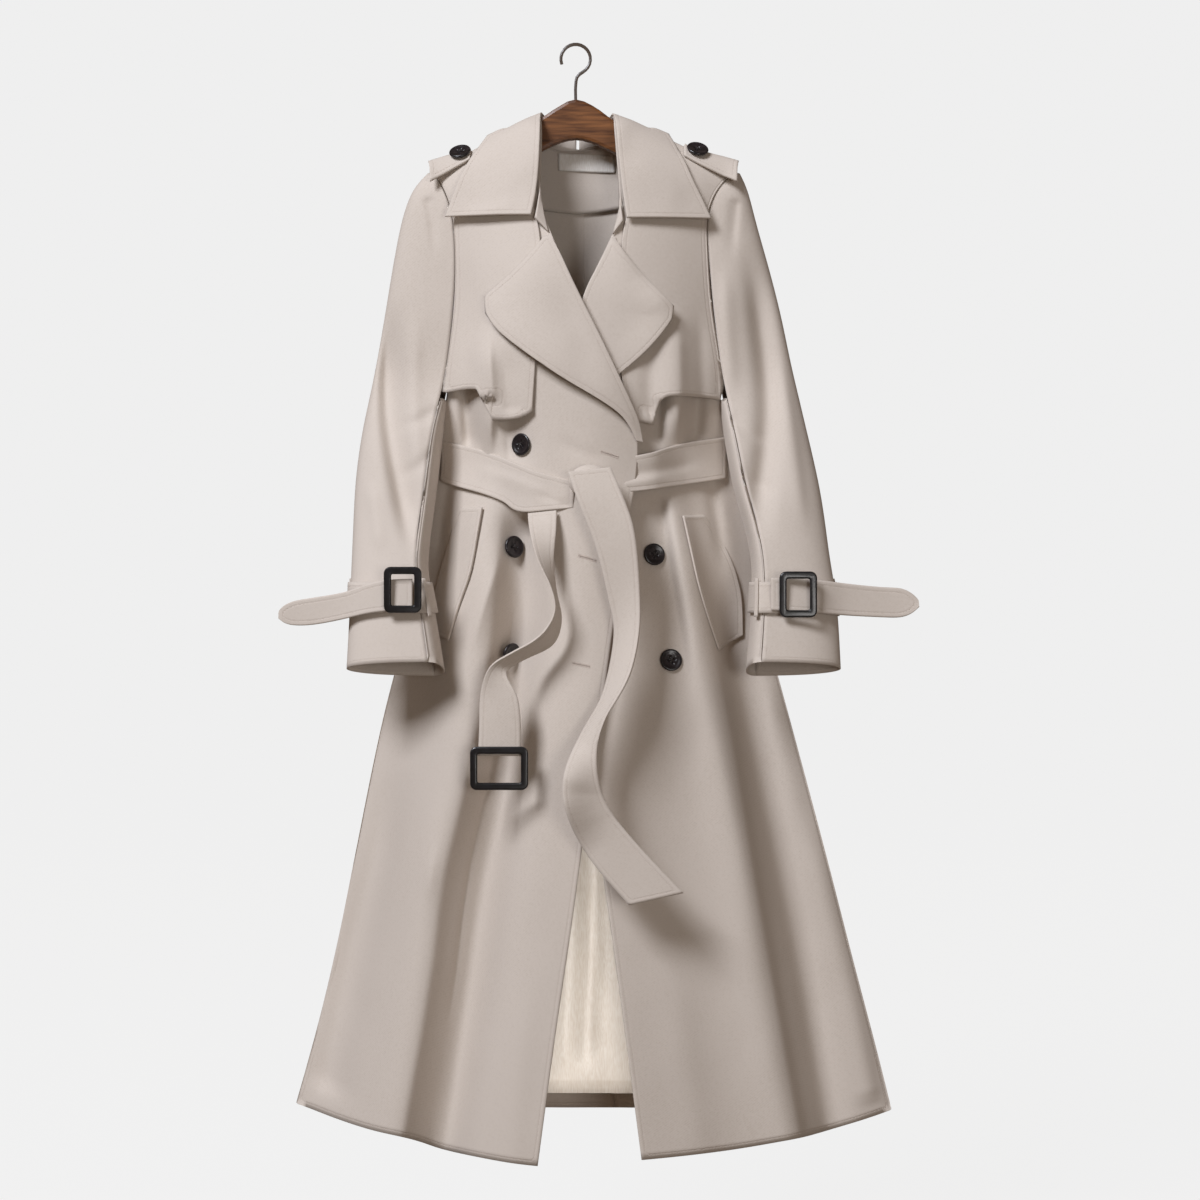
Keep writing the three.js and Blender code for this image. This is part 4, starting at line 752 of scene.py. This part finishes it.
everywhere = [(-500, 500, -1500, 100)]
cloth = {}
seamThread = newThread("seam_thread", stitching["thread"])
stitchCount = 0
for node, settings in clothPieces.items():
    mesh = meshes[node]
    slot = settings.get("slot", "shell")
    if settings.get("sewn"):
        boxes = everywhere if settings["sewn"] is True else settings["sewn"]
        distances = measureFromEdge(mesh)
        distances[~sewnPart(meshPoints(mesh) / mm, boxes)] = clearOfEdge
        side = 0 if settings.get("bothSides") else settings.get("towards", -1)
        shown = lambda place, normal: normal.y * side >= 0 and sewnPart(np.array([place]) / mm, boxes)[0]
        for line in linesAtDistance(mesh, distances, stitching["inset"], shown):
            stitchCount += addStitches(seamThread, line, stitching)
    else:
        distances = np.full(len(mesh.vertices), clearOfEdge)
    storeFromEdge(mesh, distances)
    material = {"lining": liningCloth, "label": labelTape}.get(slot, shellCloth)
    piece = addPiece("cloth_" + node, mesh, material, [node])
    cloth[node] = piece
faceUpperInside(cloth["lining_back"], {"bottom": -470, "seamX": 9.5})
addPiece("topstitching", threadMesh(seamThread, "topstitching"), sewingThread)
print("cloth pieces", len(cloth), "stitches", stitchCount)


# Four-hole horn buttons: rolled rim, dished face, sewn on with a crossed thread
buttonSizes = {"radius": 12.5, "thickness": 3.8, "rimWidth": 2.6, "dish": 1.0, "holeRadius": 1.0, "holeOut": 2.5}
buttonSewing = {  # each loop as shares of its reach and heights in mm over the dished face
    "thread": 0.9, "reach": 0.72, "loop": [(-1, -1.2), (-0.9, 0.3), (0, 0.6), (0.9, 0.3), (1, -1.2)],
}


def makeButtonMesh(sizes):
    outer, top, rim = sizes["radius"], sizes["thickness"], sizes["rimWidth"]
    face = top - sizes["dish"]
    profile = [(0, face), (outer - 2 * rim, face), (outer - 1.5 * rim, face + 0.3), (outer - rim, top - 0.15),
               (outer - rim / 2, top), (outer - 0.5, top - 0.5), (outer, top - 1.4), (outer - 0.6, 0.8),
               (outer - 2.5, 0), (0, 0)]
    bm = bmesh.new()
    dots = [bm.verts.new((x * mm, 0, z * mm)) for x, z in profile]
    rail = [bm.edges.new(pair) for pair in zip(dots, dots[1:])]
    bmesh.ops.spin(bm, geom=dots + rail, cent=(0, 0, 0), axis=(0, 0, 1), angle=2 * math.pi, steps=40,
                   use_merge=True)
    bmesh.ops.remove_doubles(bm, verts=bm.verts, dist=0.005 * mm)
    bmesh.ops.recalc_face_normals(bm, faces=bm.faces)
    body = bpy.data.meshes.new("button")
    bm.to_mesh(body)
    bm.free()
    drill = bmesh.new()
    for i in range(4):
        turn = math.pi / 4 + i * math.pi / 2
        place = Matrix.Translation((sizes["holeOut"] * mm * math.cos(turn), sizes["holeOut"] * mm * math.sin(turn),
                                    top / 2 * mm))
        bmesh.ops.create_cone(drill, cap_ends=True, segments=12, radius1=sizes["holeRadius"] * mm,
                              radius2=sizes["holeRadius"] * mm, depth=3 * top * mm, matrix=place)
    drillMesh = bpy.data.meshes.new("drill")
    drill.to_mesh(drillMesh)
    drill.free()
    blank = bpy.data.objects.new("blank", body)
    cutter = bpy.data.objects.new("cutter", drillMesh)
    for part in (blank, cutter):
        bpy.context.scene.collection.objects.link(part)
    holes = blank.modifiers.new("holes", "BOOLEAN")
    holes.object = cutter
    holes.operation = "DIFFERENCE"
    holes.solver = "EXACT"
    bpy.context.view_layer.update()
    drilled = bpy.data.meshes.new_from_object(blank.evaluated_get(bpy.context.evaluated_depsgraph_get()))
    for part in (blank, cutter):
        bpy.data.objects.remove(part)
    drilled.shade_smooth()
    return drilled


def clothUnder(carrier):
    mesh = cloth[carrier].data
    return BVHTree.FromPolygons([v.co for v in mesh.vertices], [p.vertices for p in mesh.polygons])


def seatOn(carrier, centre):
    # where the line of sight meets the cloth, the way the cloth faces there, and the highest cloth under the rim
    eye = Vector((view["x"], -view["distance"], view["z"])) * mm
    steps = ((0, 0), (1, 0), (-1, 0), (0, 1), (0, -1))
    around = [Vector((dx, 0, dz)) * buttonSizes["radius"] * mm for dx, dz in steps]
    tree = clothUnder(carrier)
    hits = [tree.ray_cast(eye, centre + step - eye)[0] for step in around]
    across, up = hits[1] - hits[2], hits[3] - hits[4]
    facing = across.cross(up).normalized()
    highest = max((hit - hits[0]).dot(facing) for hit in hits)
    return hits[0] + facing * highest, facing


def placeButton(node, turn, carrier=None, facing=None):
    centre = Vector(meshPoints(bpy.data.objects[node].data).mean(0))
    if carrier:
        seat, facing = seatOn(carrier, centre)
    else:
        facing = Vector(facing).normalized()
        seat = centre - facing * buttonSizes["thickness"] / 2 * mm
    place = Matrix.Translation(seat) @ facing.to_track_quat("Z", "Y").to_matrix().to_4x4()
    place = place @ Matrix.Rotation(turn, 4, "Z")
    mesh = buttonMesh.copy()
    mesh.transform(place)
    addPiece("horn_" + node, mesh, buttonHorn, [node])
    thread = newThread("thread_" + node, buttonSewing["thread"])
    out = buttonSizes["holeOut"] * buttonSewing["reach"]
    face = buttonSizes["thickness"] - buttonSizes["dish"]
    for side in (1, -1):
        loop = thread.splines.new("POLY")
        loop.points.add(len(buttonSewing["loop"]) - 1)
        for point, (share, height) in zip(loop.points, buttonSewing["loop"]):
            spot = Vector((out * share, out * share * side, face + height)) * mm
            point.co = (*(place @ spot), 1)
    addPiece("sewing_" + node, threadMesh(thread, "sewing_" + node), buttonThread)


buttonMesh = makeButtonMesh(buttonSizes)
# Each button's turn in its own plane, the cloth under it, or the way it faces on a shoulder strap
buttonPlaces = {
    "button_1": (0.3, "front_left"), "button_2": (0.8, "front_left"), "button_3": (0.1, "front_left"),
    "button_4": (0.5, "front_right"), "button_5": (1.0, "front_right"),
    "epaulette_button_left": (0.6, None, (-0.16, -0.7, 0.7)),
    "epaulette_button_right": (0.2, None, (0.16, -0.7, 0.7)),
}
for node, seat in buttonPlaces.items():
    placeButton(node, *seat)
print("buttons sewn on")

# Covered buckles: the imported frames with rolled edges
buckleEdge = {"width": 1.3, "segments": 3}
for node in ("belt_buckle", "cuff_buckle_left", "cuff_buckle_right"):
    bm = quadCopy(node)
    bmesh.ops.recalc_face_normals(bm, faces=bm.faces)
    bmesh.ops.dissolve_limit(bm, angle_limit=math.radians(3), verts=bm.verts, edges=bm.edges)
    mesh = bpy.data.meshes.new(node + "_frame")
    bm.to_mesh(mesh)
    bm.free()
    mesh.shade_smooth()
    piece = addPiece("lacquered_" + node, mesh, buckleLacquer, [node])
    rolled = piece.modifiers.new("rolled_edge", "BEVEL")
    rolled.width = buckleEdge["width"] * mm
    rolled.segments = buckleEdge["segments"]
    rolled.limit_method = "ANGLE"
    rolled.angle_limit = math.radians(35)
    rolled.harden_normals = True

# Worked buttonholes on the overlapping front: close stitches on both sides of a slit, and a dark line of painted
# shade along each slit
buttonholes = {
    "spans": [((29, -473), (48, -479)), ((4, -588), (24, -594)), ((-2, -706), (17, -710))],
    "inner": 0.35, "stitch": 1.7, "pitch": 0.8, "thread": 0.5, "slit": 0.45, "threadRise": 0.15, "slitRise": 0.05,
}


def onCloth(tree, spot):
    return tree.ray_cast(Vector((spot.x * mm, -1, spot.z * mm)), Vector((0, 1, 0)))[:2]


def makeButtonholes(settings, carrier):
    tree = clothUnder(carrier)
    worked = newThread("buttonhole_thread", settings["thread"])
    # painted shade along each slit, drawn as a thin dark line
    slitShadeLines = newThread("buttonhole_slit_shade", settings["slit"])
    for start, end in settings["spans"]:
        start, end = Vector((start[0], 0, start[1])), Vector((end[0], 0, end[1]))
        along = (end - start).normalized()
        across = Vector((-along.z, 0, along.x))
        count = round((end - start).length / settings["pitch"])
        slit = slitShadeLines.splines.new("POLY")
        slit.points.add(count)
        for i in range(count + 1):
            spot = start.lerp(end, i / count)
            hit, normal = onCloth(tree, spot)
            slit.points[i].co = (*(hit + normal * settings["slitRise"] * mm), 1)
            for side in (-1, 1):
                stitch = worked.splines.new("POLY")
                stitch.points.add(1)
                for point, out in zip(stitch.points, (settings["inner"], settings["stitch"])):
                    hit, normal = onCloth(tree, spot + across * side * out)
                    point.co = (*(hit + normal * settings["threadRise"] * mm), 1)
    addPiece("buttonhole_thread", threadMesh(worked, "buttonhole_thread"), sewingThread)
    addPiece("buttonhole_slit_shade", threadMesh(slitShadeLines, "buttonhole_slit_shade"), slitShade)


makeButtonholes(buttonholes, "front_left")

for node, material in {"hanger_wood": hangerWood, "hanger_hook": hookSteel}.items():
    bpy.data.objects[node].data.materials.clear()
    bpy.data.objects[node].data.materials.append(material)

# Camera
cameraData = bpy.data.cameras.new("camera")
cameraData.sensor_width = view["sensor"]
cameraData.lens = view["sensor"] * view["distance"] / view["frameWidth"]
cameraData.clip_end = 40
camera = bpy.data.objects.new("camera", cameraData)
camera.location = (view["x"] * mm, -view["distance"] * mm, view["z"] * mm)
camera.rotation_euler = (math.pi / 2, 0, 0)
bpy.context.scene.collection.objects.link(camera)
bpy.context.scene.camera = camera

# Soft cool key from high on the left, weak light from the viewer, warm pale surroundings, and a small lamp
# low in front of the open skirt that brightens its lining
lights = {
    "key": {"at": (-2.4, -3.2, 2.75), "aim": (0.05, 0.0, -0.65), "size": 1.7, "power": 272, "colour": "#f4f7ff"},
    "front": {"at": (1.1, -3.3, -0.7), "aim": (0.05, 0.0, -0.7), "size": 0.9, "power": 20, "colour": "#fffdfb"},
    "inside": {"at": (0.03, -0.9, -1.2), "aim": (0.03, 0.0, -1.1), "size": 0.3, "power": 5.6,
               "colour": "#fffaf4", "only": "lining_back"},
}
for name, light in lights.items():
    data = bpy.data.lights.new(name, "AREA")
    data.size = light["size"]
    data.energy = light["power"]
    data.color = linear(light["colour"])[:3]
    lamp = bpy.data.objects.new(name, data)
    lamp.location = light["at"]
    lamp.rotation_euler = (Vector(light["aim"]) - Vector(light["at"])).to_track_quat("-Z", "Y").to_euler()
    bpy.context.scene.collection.objects.link(lamp)
    if "only" in light:
        lit = bpy.data.collections.new("lit_by_" + name)
        lit.objects.link(cloth[light["only"]])
        lamp.light_linking.receiver_collection = lit

room = bpy.data.worlds.new("pale_room")
room.use_nodes = True
roomTree = room.node_tree
roomTree.nodes.clear()
ambient = addNode(roomTree, "ShaderNodeBackground", {"Color": linear("#f3d6be"), "Strength": 0.15})
roomTree.links.new(ambient.outputs[0], addNode(roomTree, "ShaderNodeOutputWorld").inputs[0])
bpy.context.scene.world = room

# Pale floor that sweeps up behind the coat
sweep = {"floorZ": -1.5, "frontY": -4.5, "backY": 4.0, "radius": 1.5, "top": 3.6, "halfWidth": 7.0}


def makeFloor(settings):
    bm = bmesh.new()
    start = bm.verts.new((-settings["halfWidth"], settings["frontY"], settings["floorZ"]))
    turnStart = bm.verts.new((-settings["halfWidth"], settings["backY"], settings["floorZ"]))
    bm.edges.new((start, turnStart))
    centre = (0, settings["backY"], settings["floorZ"] + settings["radius"])
    bmesh.ops.spin(bm, geom=[turnStart], cent=centre, axis=(1, 0, 0), angle=math.pi / 2, steps=16)
    bm.verts.ensure_lookup_table()
    last = max(bm.verts, key=lambda v: (v.co.y, v.co.z))
    top = bm.verts.new((last.co.x, last.co.y, settings["top"]))
    bm.edges.new((last, top))
    strip = bmesh.ops.extrude_edge_only(bm, edges=bm.edges)
    moved = [v for v in strip["geom"] if isinstance(v, bmesh.types.BMVert)]
    bmesh.ops.translate(bm, verts=moved, vec=(2 * settings["halfWidth"], 0, 0))
    bmesh.ops.recalc_face_normals(bm, faces=bm.faces)
    mesh = bpy.data.meshes.new("floor")
    bm.to_mesh(mesh)
    bm.free()
    mesh.shade_smooth()
    material, tree, shader = newMaterial("matt_backdrop_paper", {
        "Base Color": linear("#202020"), "Roughness": 1, "Emission Color": linear("#f1f1f1"),
        "Emission Strength": 0.97,
    })
    mesh.materials.append(material)
    floor = bpy.data.objects.new("floor", mesh)
    bpy.context.scene.collection.objects.link(floor)
    floor.visible_diffuse = False
    floor.visible_glossy = False
    floor.visible_shadow = False
    floor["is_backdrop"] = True


makeFloor(sweep)
print("camera, light and floor ready")

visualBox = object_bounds()
boxes = {"cad": [list(corner) for corner in cadBox], "visual": [list(corner) for corner in visualBox]}
